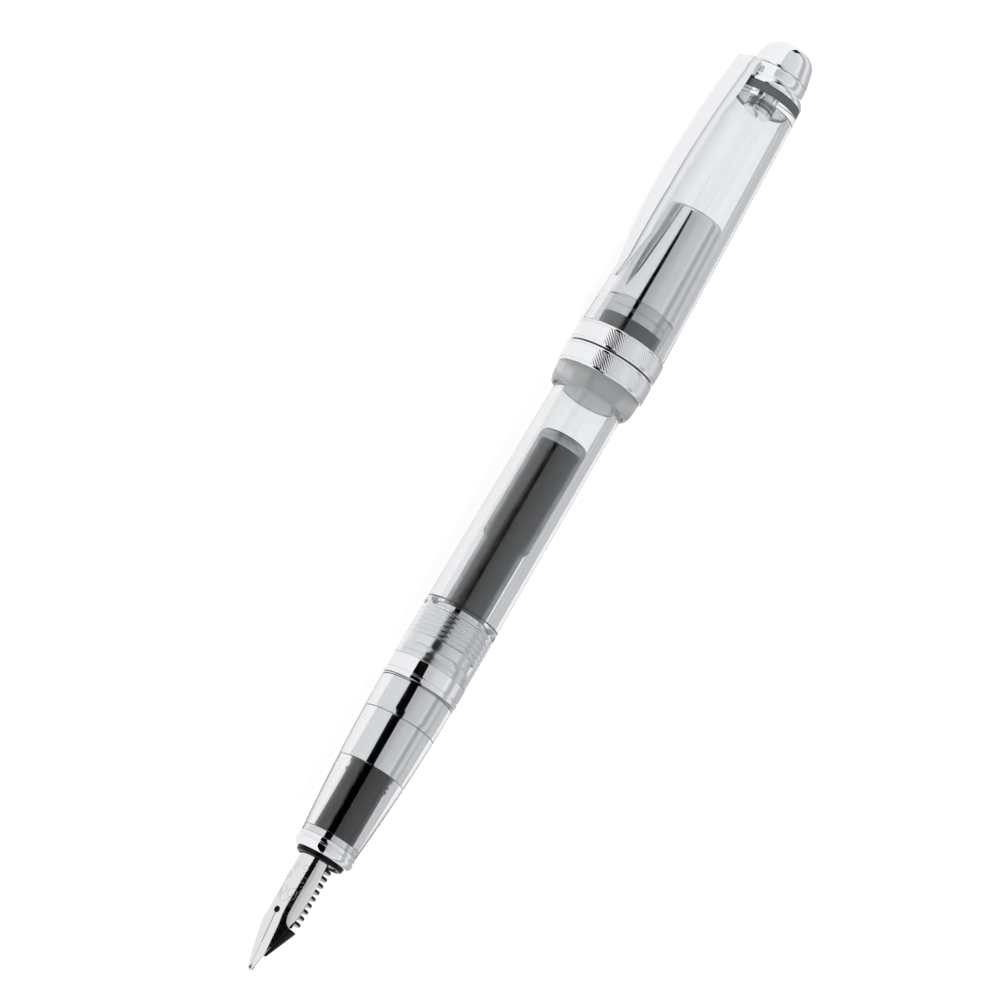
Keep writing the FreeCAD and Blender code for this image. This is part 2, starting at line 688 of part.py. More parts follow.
# ---------------------------------------------------------------- cartridge
def make_cartridge_shell():
    mouth = s.tube_radius + s.run_gap
    wall = s.cartridge_wall
    cone_end = cartridge_neck + s.cartridge_cone
    corner = s.cartridge_end_round
    corners = [
        (cartridge_front, mouth),
        (cartridge_front + s.cartridge_mouth, mouth),
        (cartridge_front + s.cartridge_mouth, s.cartridge_radius - wall),
        (cartridge_neck, s.cartridge_radius - wall),
        (cone_end, s.cartridge_back_radius - wall),
        (cartridge_back - corner, s.cartridge_back_radius - wall),
        (cartridge_back - wall, s.cartridge_back_radius - corner),
        (cartridge_back - wall, ZERO),
        (cartridge_back, ZERO),
        (cartridge_back, s.cartridge_back_radius - corner),
        (cartridge_back - corner, s.cartridge_back_radius),
        (cone_end, s.cartridge_back_radius),
        (cartridge_neck, s.cartridge_radius),
        (cartridge_front, s.cartridge_radius),
    ]
    bulges = {5: (corner - wall) * -ROUND_RISE, 9: corner * ROUND_RISE}
    return turn(new_body("cartridge_shell"), corners, bulges)


def make_cartridge_ink():
    """Ink that fills the shell up to its air space, with room for the tube and the loose ball."""
    gap = s.seat_gap
    wall = s.cartridge_wall + gap
    start = cartridge_front + s.cartridge_mouth + gap
    tube_end = housing_back + s.tube_stand + s.run_gap
    tube_room = s.tube_radius + s.run_gap
    cone_end = cartridge_neck + s.cartridge_cone
    end = cartridge_back - s.cartridge_wall - s.cartridge_air
    corners = [
        (start, tube_room),
        (tube_end, tube_room),
        (tube_end, ZERO),
        (end, ZERO),
        (end, s.cartridge_back_radius - wall),
        (cone_end + gap, s.cartridge_back_radius - wall),
        (cartridge_neck + gap, s.cartridge_radius - wall),
        (start, s.cartridge_radius - wall),
    ]
    body = turn(new_body("cartridge_ink"), corners)
    middle = cartridge_front + s.ball_place
    room = s.ball_radius + gap
    return groove(body, "ball_room", rectangle(middle - room, middle + room, ZERO, room))


def make_ball():
    ball = doc.addObject("Part::Sphere", "cartridge_ball")
    ball.Label = "cartridge_ball"
    ball.setExpression("Radius", s.ball_radius.text)
    ball.setExpression("Placement.Base.x", (cartridge_front + s.ball_place).text)
    doc.recompute()
    return ball


# ---------------------------------------------------------------- barrel and its tail
def make_barrel():
    socket_end = sleeve_back + s.socket_play
    corners = [
        (barrel_front, barrel_socket),
        (socket_end, barrel_socket),
        (socket_end + s.socket_cone, barrel_bore),
        (tenon_front - s.seat_gap, barrel_bore),
        (tenon_front - s.seat_gap, tail_socket),
        (barrel_back, tail_socket),
        (barrel_back, barrel_back_radius - s.barrel_end_round),
        (barrel_back - s.barrel_end_round, barrel_back_radius),
        (barrel_front, barrel_front_radius),
    ]
    body = turn(new_body("barrel"), corners, {6: s.barrel_end_round * ROUND_RISE})
    return thread(body, "barrel_thread", thread_front, s.thread_length, s.thread_pitch,
                  barrel_socket, barrel_socket + s.barrel_thread_depth)


def make_tail():
    corner = s.tail_round
    groove_front = tenon_front + s.seal_place
    groove_back = groove_front + s.seal_width
    floor = tenon_radius - s.seal_depth
    corners = [
        (tenon_front, s.tail_bore),
        (tail_back - s.tail_floor, s.tail_bore),
        (tail_back - s.tail_floor, ZERO),
        (tail_back, ZERO),
        (tail_back, tail_back_radius - corner),
        (tail_back - corner, tail_back_radius),
        (barrel_back + s.seat_gap, tail_front_radius),
        (barrel_back + s.seat_gap, tenon_radius),
        (groove_back, tenon_radius),
        (groove_back, floor),
        (groove_front, floor),
        (groove_front, tenon_radius),
        (tenon_front + s.tenon_bevel, tenon_radius),
        (tenon_front, tenon_radius - s.tenon_bevel),
    ]
    return turn(new_body("barrel_tail"), corners, {4: corner * ROUND_RISE})


def make_seal_ring():
    """Rubber ring squeezed to fill the groove, with a rounded outside."""
    front = tenon_front + s.seal_place + s.seat_gap
    back = front + s.seal_width - s.seat_gap * 2
    inside = tenon_radius - s.seal_depth + s.seat_gap
    side = tenon_radius - s.edge_round
    corners = [(front, inside), (back, inside), (back, side), (front, side)]
    return turn(new_body("tail_seal_ring"), corners, {2: s.edge_round})


# ---------------------------------------------------------------- cap
def make_mouth_ring():
    end = band_split + s.band_gap / 2
    lip_radius = band_radius - s.lip_step
    corners = [
        (cap_mouth, cap_mouth_bore + s.edge_round),
        (cap_mouth + s.edge_round, cap_mouth_bore),
        (end, cap_mouth_bore),
        (end, band_bore - s.seat_gap),
        (lip_back - s.seat_gap, band_bore - s.seat_gap),
        (lip_back - s.seat_gap, lip_radius),
        (cap_mouth + s.lip_slope, lip_radius - s.lip_slope_rise),
        (cap_mouth, cap_mouth_bore + s.lip_wall - s.edge_round),
    ]
    return turn(new_body("cap_mouth_ring"), corners, {6: s.edge_round})


def make_cap_tube():
    start = band_split + s.band_gap / 2 + s.seat_gap
    floor = cap_top - s.cap_end_wall
    hole = s.screw_radius + s.seat_gap
    corners = [
        (start, cap_mouth_bore),
        (bands_back, cap_mouth_bore),
        (barrel_back - s.barrel_end_round, cap_post_bore),
        (floor, cap_end_bore),
        (floor, hole),
        (cap_top, hole),
        (cap_top, s.cap_top_radius),
        (bands_back + s.seat_gap, cap_front_radius),
        (bands_back + s.seat_gap, band_bore - s.seat_gap),
        (start, band_bore - s.seat_gap),
    ]
    return turn(new_body("cap_tube"), corners)


def make_band(name, front):
    back = front + s.band_width
    bevel = s.band_edge
    corners = [
        (front, band_bore),
        (back, band_bore),
        (back, band_radius - bevel),
        (back - bevel, band_radius),
        (front + bevel, band_radius),
        (front, band_radius - bevel),
    ]
    return turn(new_body(name), corners)


def make_gasket():
    outside = s.cap_top_radius - s.gasket_step
    hole = outside - s.gasket_width
    return tube("cap_gasket", cap_top + s.seat_gap, collar_front - s.seat_gap, hole, outside)


def clip_slot(body, name):
    """Slot for the clip's leg, cut in from the top."""
    back = clip_root + s.clip_leg + s.clip_slot_gap
    floor = clip_root_height - s.clip_leg_depth - s.clip_slot_gap
    corners = rectangle(cap_top, back, floor, clip_root_height * 2)
    return cut_through(body, name, "XZ_Plane", [(corners, None)], width=s.clip_width + s.clip_slot_gap * 2)


def make_collar():
    hole = s.screw_radius + s.seat_gap
    boss = s.cap_top_radius - s.gasket_step - s.gasket_width - s.seat_gap
    corners = [
        (collar_front, boss),
        (cap_top + s.seat_gap, boss),
        (cap_top + s.seat_gap, hole),
        (finial_front, hole),
        (finial_front, finial_front_radius),
        (collar_front + s.collar_slope, collar_back_radius),
        (collar_front + s.edge_round, s.cap_top_radius),
        (collar_front, s.cap_top_radius - s.edge_round),
    ]
    return clip_slot(turn(new_body("clip_collar"), corners, {5: -s.edge_round}), "collar_slot")


def make_finial():
    front = finial_front + s.seat_gap
    hole_end = finial_front + s.screw_reach + s.screw_end_gap
    shoulder = finial_top - s.finial_shoulder
    dome_edge = finial_top - s.finial_dome_drop
    corners = [
        (front, s.screw_radius + s.seat_gap),
        (hole_end, s.screw_radius + s.seat_gap),
        (hole_end, ZERO),
        (finial_top, ZERO),
        (dome_edge, dome_radius),
        (shoulder, finial_back_radius),
        (front, finial_front_radius),
    ]
    return turn(new_body("finial"), corners, {3: s.edge_round, 4: s.finial_bulge})


def make_screw():
    floor = cap_top - s.cap_end_wall - s.seat_gap
    end = finial_front + s.screw_reach
    corners = [
        (floor - s.screw_head, ZERO),
        (floor - s.screw_head, s.screw_head_radius - s.edge_round),
        (floor - s.screw_head + s.edge_round, s.screw_head_radius),
        (floor, s.screw_head_radius),
        (floor, s.screw_radius),
        (end, s.screw_radius),
        (end, ZERO),
    ]
    return turn(new_body("finial_screw"), corners)


# ---------------------------------------------------------------- clip
def make_clip():
    """Folded sheet: side view padded to width, tapered from above, then hollowed under its face."""
    root, tip = clip_root, clip_tip
    foot_front = tip + s.clip_foot_front
    foot_back = tip + s.clip_foot_back
    foot_back_height = s.cap_top_radius + cap_taper * (cap_top - foot_back) + s.clip_foot_gap
    foot_front_height = s.cap_top_radius + cap_taper * (cap_top - foot_front) + s.clip_foot_gap
    leg_back = root + s.clip_leg
    leg_foot = clip_root_height - s.clip_leg_depth
    under_root = clip_root_height - s.clip_depth
    heel = foot_back + s.clip_depth * 2
    face_rise = (clip_root_height - clip_tip_height) / (root - tip)
    heel_height = clip_tip_height + face_rise * (heel - tip) + s.clip_bow * HEEL_BOW - s.clip_depth
    body = new_body("clip")
    sketch = sketch_on(body, "XZ_Plane", "clip_side")
    corners = [
        (tip, clip_tip_height),
        (root, clip_root_height),
        (leg_back - s.clip_sheet, clip_root_height),
        (leg_back, clip_root_height - s.clip_sheet),
        (leg_back, leg_foot),
        (root, leg_foot),
        (root, under_root),
        (heel, heel_height),
        (foot_back, foot_back_height),
        (foot_front, foot_front_height),
        (tip, clip_tip_height - s.clip_sheet / 2),
    ]
    outline(sketch, corners, {0: s.clip_bow, 2: s.clip_root_round, 6: -s.clip_bow * UNDER_BOW})
    pad = body.newObject("PartDesign::Pad", "clip_pad")
    pad.Profile = sketch
    pad.SideType = "Symmetric"
    pad.setExpression("Length", s.clip_width.text)
    doc.recompute()
    wide = s.clip_width / 2
    neck = s.clip_neck_width / 2
    point = s.clip_point_width / 2
    sides = []
    for side in (1, -1):
        sides.append(
            (
                [
                    (tip + s.clip_taper_start, wide * side),
                    (tip + s.clip_neck, neck * side),
                    (tip - s.clip_sheet, point * side),
                    (tip - s.clip_sheet, s.clip_width * side),
                    (tip + s.clip_taper_start, s.clip_width * side),
                ],
                None,
            )
        )
    cut_through(body, "clip_taper", "XY_Plane", sides)
    hollow_back = root - s.clip_sheet * 2
    hollow_front = heel + s.clip_sheet * 2
    back_ceiling = clip_root_height - s.clip_sheet
    front_ceiling = heel_height + s.clip_depth - s.clip_sheet
    hollow = [
        (hollow_front, front_ceiling),
        (hollow_back, back_ceiling + s.clip_bow * HOLLOW_RISE),
        (hollow_back, s.cap_top_radius),
        (hollow_front, s.cap_top_radius),
    ]
    inner_width = s.clip_width - s.clip_sheet * 2
    cut_through(body, "clip_hollow", "XZ_Plane", [(hollow, {0: s.clip_bow * HOLLOW_BOW})], width=inner_width)
    return body


# ---------------------------------------------------------------- assembly
bow_height = (clip_root_height.now + clip_tip_height.now) / 2 + s.clip_bow.now
half_width = s.clip_width.now / 2
edge_angle = math.degrees(math.atan2(half_width, bow_height))
edge_reach = math.hypot(bow_height, half_width)
clip_from_down = math.degrees(math.acos(band_radius.now / edge_reach)) + edge_angle
clip_roll = Rotation(Vector(1, 0, 0), -(180 - clip_from_down))
nib_roll = Rotation(Vector(1, 0, 0), -(180 - clip_from_down - s.cap_turn.now))
no_roll = Rotation()

parts = [
    (make_nib(), nib_roll),
    (make_tipping(), nib_roll),
    (make_feed(), nib_roll),
    (make_housing(), nib_roll),
    (tube("piercing_tube", housing_back - s.housing_end_wall + s.seat_gap,
          housing_back + s.tube_stand, s.tube_bore, s.tube_radius), nib_roll),
    (make_front_ring(), no_roll),
    (make_grip(), no_roll),
    (make_sleeve(), no_roll),
    (make_trim_ring(), no_roll),
    (make_coupling(), no_roll),
    (make_cartridge_shell(), no_roll),
    (make_cartridge_ink(), no_roll),
    (make_ball(), no_roll),
    (make_barrel(), no_roll),
    (make_tail(), no_roll),
    (make_seal_ring(), no_roll),
    (make_mouth_ring(), no_roll),
    (make_cap_tube(), no_roll),
    (make_band("cap_band_lower", lip_back), no_roll),
    (make_band("cap_band_upper", upper_band_front), no_roll),
    (make_gasket(), no_roll),
    (make_collar(), clip_roll),
    (make_finial(), clip_roll),
    (make_screw(), no_roll),
    (make_clip(), clip_roll),
]

for part, roll in parts:
    if part.TypeId == "PartDesign::Body":
        part.Placement = Placement(Vector(), roll)
doc.recompute()

failed = [o.Name for o in doc.Objects if "Invalid" in o.State or "Error" in o.State]
if failed:
    raise RuntimeError(f"these objects failed: {failed}")


def placed_shape(part, roll):
    """A sub-part's shape, rolled; a body already carries its roll in its placement."""
    shape = part.Shape.copy()
    if part.TypeId != "PartDesign::Body":
        shape.transformShape(Placement(Vector(), roll).toMatrix())
    return shape


shapes = {part.Label: placed_shape(part, roll) for part, roll in parts}
whole = Part.makeCompound(list(shapes.values())).optimalBoundingBox(False)
shift = Vector(-whole.Center.x, -whole.Center.y, -whole.ZMin)

os.makedirs("parts", exist_ok=True)
for name, shape in shapes.items():
    shape.translate(shift)
    if shape.isNull() or not shape.isValid():
        raise RuntimeError(f"{name} has no valid shape")
    shape.exportStep(f"parts/{name}.step")
    print(f"{name:20s} {len(shape.Solids)} solid {shape.Volume:9.2f} mm3")
print("shift", [round(v, 4) for v in shift], "clip from straight down", round(clip_from_down, 3))
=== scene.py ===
import json
import math

import bpy
from mathutils import Matrix, Vector


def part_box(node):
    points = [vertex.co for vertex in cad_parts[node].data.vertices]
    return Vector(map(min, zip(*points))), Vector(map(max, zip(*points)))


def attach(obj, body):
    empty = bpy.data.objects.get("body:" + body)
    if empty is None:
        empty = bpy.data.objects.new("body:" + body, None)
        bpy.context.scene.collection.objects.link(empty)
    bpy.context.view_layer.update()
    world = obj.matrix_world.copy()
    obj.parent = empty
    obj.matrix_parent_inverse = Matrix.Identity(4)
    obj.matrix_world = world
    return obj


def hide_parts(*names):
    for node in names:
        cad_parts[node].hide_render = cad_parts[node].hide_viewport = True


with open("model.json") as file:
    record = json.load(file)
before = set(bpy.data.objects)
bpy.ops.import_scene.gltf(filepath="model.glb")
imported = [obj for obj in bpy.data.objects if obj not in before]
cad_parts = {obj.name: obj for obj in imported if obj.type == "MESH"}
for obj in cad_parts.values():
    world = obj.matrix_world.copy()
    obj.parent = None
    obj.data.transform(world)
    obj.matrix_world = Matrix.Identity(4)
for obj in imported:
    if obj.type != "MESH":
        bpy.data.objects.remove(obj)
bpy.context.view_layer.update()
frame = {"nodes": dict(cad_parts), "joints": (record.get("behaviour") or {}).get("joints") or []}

bpy.ops.object.select_all(action="DESELECT")


# ---------------------------------------------------------------- studio table and tent
# The pen lies on a seamless white table inside a white tent, so that clear resin and chrome have
# something pale to show on every side. The table glows a little, as a light table does.
MM = 0.001
TABLE_SIZE = 6.0
SKY_STOPS = (  # height across the tent's Y, from -Y at 0 to +Y at 1, and the paper's shade there
    (0.15, "C8C9CB"), (0.23, "F2F3F4"), (0.33, "F2F3F4"), (0.40, "BEBFC1"), (0.49, "C6C7C9"),
    (0.56, "FFFFFF"), (0.66, "ECEDEE"), (0.86, "E6E7E8"), (0.95, "D0D1D3"))


def srgb(code):
    """A hex sRGB colour as the linear values that a shader takes."""
    shares = [int(code[i:i + 2], 16) / 255 for i in (0, 2, 4)]
    return [c / 12.92 if c <= 0.04045 else ((c + 0.055) / 1.055) ** 2.4 for c in shares] + [1.0]


def add_node(tree, kind, settings, links=()):
    """Adds one shader node, with its properties, its input values and its links."""
    node = tree.nodes.new(kind)
    for key, value in settings.items():
        if key in node.inputs:
            node.inputs[key].default_value = value
        else:
            setattr(node, key, value)
    for key, output in dict(links).items():
        tree.links.new(output, node.inputs[key])
    return node


def new_finish(name, colour, **sockets):
    """A Principled material with its constant values set on the shader's own sockets."""
    material = bpy.data.materials.new(name)
    material.use_nodes = True
    shader = material.node_tree.nodes["Principled BSDF"]
    shader.inputs["Base Color"].default_value = srgb(colour)
    for socket, value in sockets.items():
        shader.inputs[socket.replace("_", " ")].default_value = value
    return material


bpy.context.scene.view_settings.view_transform = "Standard"

table_paper = new_finish("matt_white_table_paper", "808080", Roughness=0.9, Emission_Strength=0.9)
table_paper.node_tree.nodes["Principled BSDF"].inputs["Emission Color"].default_value = srgb("FFFFFF")
bpy.ops.mesh.primitive_plane_add(size=TABLE_SIZE)
table = bpy.context.object
table.name = "table"
table.data.materials.append(table_paper)

world = bpy.data.worlds.new("white_tent")
bpy.context.scene.world = world
world.use_nodes = True
sky = world.node_tree
sky_place = add_node(sky, "ShaderNodeTexCoord", {})
sky_parts = add_node(sky, "ShaderNodeSeparateXYZ", {}, {"Vector": sky_place.outputs["Generated"]})
sky_share = add_node(
    sky, "ShaderNodeMapRange", {"From Min": -1.0, "From Max": 1.0}, {"Value": sky_parts.outputs["Y"]})
sky_ramp = add_node(sky, "ShaderNodeValToRGB", {}, {"Fac": sky_share.outputs["Result"]})
for place, colour in SKY_STOPS:
    stop = sky_ramp.color_ramp.elements.new(place)
    stop.color = srgb(colour)
sky_ramp.color_ramp.elements[0].color = srgb("C4C5C7")
sky_ramp.color_ramp.elements[-1].color = srgb("CFD0D2")
sky.links.new(sky_ramp.outputs["Color"], sky.nodes["Background"].inputs["Color"])


# ---------------------------------------------------------------- camera and black card
# A long lens looks down on the pen from beside the nib, rolled so that the pen stands steeply.
# A strip of black card beside the pen is what gives chrome its one hard dark line, and a small one
# past the end of the cap darkens the crown of the finial.
VIEW_ROUND = math.radians(71.5)
VIEW_TOWARDS_NIB = math.radians(11.6)
VIEW_ROLL = math.radians(30.42)
VIEW_DISTANCE = 0.7054
SENSOR_WIDTH = 36.0
LENS_LENGTH = 185.4
NEAR_CLIP = 0.01
AIM_ALONG = -2.1645 * MM
AIM_ACROSS = 3.575 * MM

barrel_low, barrel_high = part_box("barrel")
axis = (barrel_low + barrel_high) / 2
back = Vector((
    -math.sin(VIEW_TOWARDS_NIB),
    math.cos(VIEW_TOWARDS_NIB) * math.sin(VIEW_ROUND),
    math.cos(VIEW_TOWARDS_NIB) * math.cos(VIEW_ROUND),
))
up_pen = (Vector((1, 0, 0)) - back * back.x).normalized()
across_pen = up_pen.cross(back)
view_right = up_pen * math.sin(VIEW_ROLL) + across_pen * math.cos(VIEW_ROLL)
view_up = up_pen * math.cos(VIEW_ROLL) - across_pen * math.sin(VIEW_ROLL)
aim = Vector((AIM_ALONG, axis.y, axis.z)) - across_pen * AIM_ACROSS

camera_data = bpy.data.cameras.new("long_lens")
camera_data.sensor_width = SENSOR_WIDTH
camera_data.lens = LENS_LENGTH
camera_data.clip_start = NEAR_CLIP
camera = bpy.data.objects.new("camera", camera_data)
bpy.context.scene.collection.objects.link(camera)
camera.matrix_world = Matrix.Translation(aim + back * VIEW_DISTANCE) @ Matrix(
    (view_right, view_up, back)).transposed().to_4x4()
bpy.context.scene.camera = camera

CARD_STATIONS = (  # place along the pen, distance of the near edge, rise of the far edge
    (-0.300, 0.034, 0.032), (-0.056, 0.030, 0.032), (-0.034, 0.019, 0.030), (-0.018, 0.021, 0.022),
    (-0.008, 0.024, 0.011), (0.070, 0.050, 0.0075))
CARD_FAR = 100 * MM
CARD_FLOOR = 0.3 * MM
END_CARD_X = 0.160
END_CARD_Y = (-14 * MM, 34 * MM)
END_CARD_Z = (10 * MM, 33 * MM)
card_paper = new_finish("matt_black_card", "060606", Roughness=1.0, Specular_IOR_Level=0.0)
bpy.ops.mesh.primitive_grid_add(x_subdivisions=len(CARD_STATIONS) - 1, y_subdivisions=1, size=2)
card = bpy.context.object
card.name = "black_card"
for vertex in card.data.vertices:
    along, near, rise = CARD_STATIONS[round((vertex.co.x + 1) / 2 * (len(CARD_STATIONS) - 1))]
    if vertex.co.y > 0:
        vertex.co = (along, axis.y + CARD_FAR, axis.z + rise)
    else:
        vertex.co = (along, axis.y + near, CARD_FLOOR)
bpy.ops.mesh.primitive_plane_add(size=1)
end_card = bpy.context.object
end_card.name = "end_card"
for vertex in end_card.data.vertices:
    vertex.co = (END_CARD_X, axis.y + END_CARD_Y[vertex.co.x > 0], END_CARD_Z[vertex.co.y > 0])
for sheet in (card, end_card):
    sheet.data.materials.clear()
    sheet.data.materials.append(card_paper)
    sheet.visible_camera = False
    sheet.visible_diffuse = False
    sheet.visible_shadow = False


# ---------------------------------------------------------------- clear grip
# The section that the fingers hold, turned and polished from clear acrylic. Its outside swells
# towards the barrel, and its bore is stepped for the nib housing's thread and the chrome sleeve.
TURN_STEPS = 128
CURVE_POINTS = 5
HOLD = 0.03
SEAT_GAP = 0.02
WELD = 0.0005 * MM
CREASE = math.radians(32)


def ends(node):
    """A turned node's front, back and radius, in millimetres."""
    low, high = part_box(node)
    return low.x / MM, high.x / MM, (high.z - low.z) / 2 / MM


def rounded(corners):
    """Outline points for (x, radius, setback) corners; a setback above 0 rounds its corner."""
    points = []
    for i, corner in enumerate(corners):
        here = Vector(corner[:2])
        setback = corner[2] if len(corner) > 2 else 0
        if not setback:
            points.append(here)
            continue
        before = Vector(corners[i - 1][:2]) - here
        after = Vector(corners[(i + 1) % len(corners)][:2]) - here
        start = here + before.normalized() * setback
        end = here + after.normalized() * setback
        if before.length > 2 * (setback + HOLD):
            points.append(here + before.normalized() * (setback + HOLD))
        for k in range(CURVE_POINTS + 1):
            t = k / CURVE_POINTS
            points.append(start * (1 - t) ** 2 + here * 2 * t * (1 - t) + end * t ** 2)
        if after.length > 2 * (setback + HOLD):
            points.append(here + after.normalized() * (setback + HOLD))
    return points


def turned(name, corners, steps=TURN_STEPS):
    """Spins a closed outline of (x, radius, setback) corners, in millimetres, about the pen's axis."""
    points = rounded(corners)
    bpy.ops.mesh.primitive_circle_add(vertices=len(points), radius=MM)
    piece = bpy.context.object
    piece.name = name
    for vertex, point in zip(piece.data.vertices, points):
        vertex.co = (point.x * MM, axis.y, axis.z + point.y * MM)
    bpy.ops.object.mode_set(mode="EDIT")
    bpy.ops.mesh.select_all(action="SELECT")
    bpy.ops.mesh.spin(steps=steps, angle=2 * math.pi, center=(0, axis.y, axis.z), axis=(1, 0, 0))
    bpy.ops.mesh.select_all(action="SELECT")
    bpy.ops.mesh.remove_doubles(threshold=WELD)
    bpy.ops.mesh.delete_loose()
    bpy.ops.mesh.select_all(action="SELECT")
    bpy.ops.mesh.normals_make_consistent(inside=False)
    bpy.ops.object.mode_set(mode="OBJECT")
    bpy.ops.object.shade_smooth_by_angle(angle=CREASE)
    bpy.ops.object.select_all(action="DESELECT")
    return piece


def dress(piece, material, body, slot, *nodes):
    """Gives a finished piece its material and its body, and hides the nodes it stands for; the slot
    argument is not used.
    """
    piece.data.materials.clear()
    piece.data.materials.append(material)
    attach(piece, body)
    if nodes:
        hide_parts(*nodes)


# Cast and polished acrylic: almost colourless, glass-clear, with faint rub marks in the polish.
clear_acrylic = new_finish(
    "polished_clear_acrylic", "F0F1F2", IOR=1.49, Specular_IOR_Level=0.10, Transmission_Weight=1.0)


def polish_marks(material, smooth, worn, size, depth):
    """Roughness that varies between two values over patches of a size, and fine waves of a depth, in mm."""
    tree = material.node_tree
    shader = tree.nodes["Principled BSDF"]
    place = add_node(tree, "ShaderNodeTexCoord", {})
    patches = add_node(
        tree, "ShaderNodeTexNoise", {"Scale": 1 / (size * MM), "Detail": 3.0},
        {"Vector": place.outputs["Object"]})
    spread = add_node(
        tree, "ShaderNodeMapRange", {"From Min": 0.35, "From Max": 0.7, "To Min": smooth, "To Max": worn},
        {"Value": patches.outputs["Fac"]})
    tree.links.new(spread.outputs["Result"], shader.inputs["Roughness"])
    waves = add_node(
        tree, "ShaderNodeBump", {"Strength": 0.4, "Distance": depth * MM},
        {"Height": patches.outputs["Fac"]})
    tree.links.new(waves.outputs["Normal"], shader.inputs["Normal"])


polish_marks(clear_acrylic, 0.0, 0.02, 6.0, 0.0008)

grip_front, grip_back, grip_radius = ends("grip_section")
housing_front, housing_back, collar_radius = ends("nib_housing")
sleeve_front, sleeve_back, sleeve_radius = ends("section_sleeve")
GRIP_FRONT_RADIUS = 4.20
GRIP_SWELL = 0.25
SECTION_BORE = 3.38
RING_TAIL = 1.02
RING_TAIL_RADIUS = 3.62
SLEEVE_STEP = 5.1
SLEEVE_THIN = 0.30
SWELL_POINTS = 12
step_x = grip_back - SLEEVE_STEP
grip_outside = []
for k in range(SWELL_POINTS + 1):
    t = 1 - k / SWELL_POINTS
    swell = 4 * GRIP_SWELL * t * (1 - t)
    radius = GRIP_FRONT_RADIUS + (grip_radius - GRIP_FRONT_RADIUS) * t + swell
    grip_outside.append((grip_front + (grip_back - grip_front) * t, radius))
grip = turned("clear_grip", [
    (grip_front, RING_TAIL_RADIUS),
    (grip_front + RING_TAIL, RING_TAIL_RADIUS, 0.06),
    (grip_front + RING_TAIL, SECTION_BORE, 0.06),
    (sleeve_front - SEAT_GAP, SECTION_BORE, 0.06),
    (sleeve_front - SEAT_GAP, sleeve_radius - SLEEVE_THIN + SEAT_GAP, 0.06),
    (step_x, sleeve_radius - SLEEVE_THIN + SEAT_GAP, 0.06),
    (step_x, sleeve_radius + SEAT_GAP, 0.06),
    (grip_back, sleeve_radius + SEAT_GAP),
    *grip_outside,
])
dress(grip, clear_acrylic, "grip", "clear_resin", "grip_section")


# ---------------------------------------------------------------- front ring
# A bright plated ring that caps the front of the grip. Its thin tail runs back inside the acrylic.
ring_front, ring_back, ring_radius = ends("section_front_ring")
COLLAR_SEAT = 0.42
RING_LINE = ring_front + 1.30
collar_hole = collar_radius + 0.06

# Chrome over nickel: a hard mirror, a little cool, with hairline rubs that only soften highlights.
chrome = new_finish("polished_chrome_plate", "E8E9EB", Metallic=1.0)
polish_marks(chrome, 0.03, 0.09, 2.4, 0.001)

front_ring = turned("front_ring", [
    (ring_front, collar_hole, 0.05),
    (ring_front + COLLAR_SEAT, collar_hole),
    (ring_front + COLLAR_SEAT, SECTION_BORE),
    (ring_back, SECTION_BORE),
    (ring_back, RING_TAIL_RADIUS - SEAT_GAP, 0.05),
    (grip_front - 0.01, RING_TAIL_RADIUS - SEAT_GAP),
    (grip_front - 0.01, GRIP_FRONT_RADIUS, 0.06),
    (grip_front - 0.30, ring_radius - 0.05, 0.25),
    (RING_LINE + 0.12, ring_radius - 0.03, 0.12),
    (RING_LINE + 0.05, ring_radius - 0.20),
    (RING_LINE - 0.05, ring_radius - 0.20),
    (RING_LINE - 0.12, ring_radius - 0.02, 0.12),
    (ring_front + 0.55, ring_radius, 0.3),
    (ring_front, ring_radius - 0.40, 0.25),
])
dress(front_ring, chrome, "grip", "chrome_plate", "section_front_ring")


# ---------------------------------------------------------------- nib housing
# A black moulded collar and tube that hold the nib and feed, with a screw thread at its back end.
HOUSING_BORE = 2.67
HOUSING_RADIUS = 3.07
HOUSING_THREAD_RADIUS = 3.30
HOUSING_THREAD_LENGTH = 2.15
HOUSING_PITCH = 0.62
HOUSING_END_WALL = 1.85
TUBE_HOLE = 1.12
RIDGE_ROOT_SHARE = 0.44
RIDGE_CREST_SHARE = 0.13
RIDGE_BURIED = 0.04
RIDGE_CREASE = math.radians(75)
RIDGE_STEPS = 64
collar_back = housing_front + 1.05


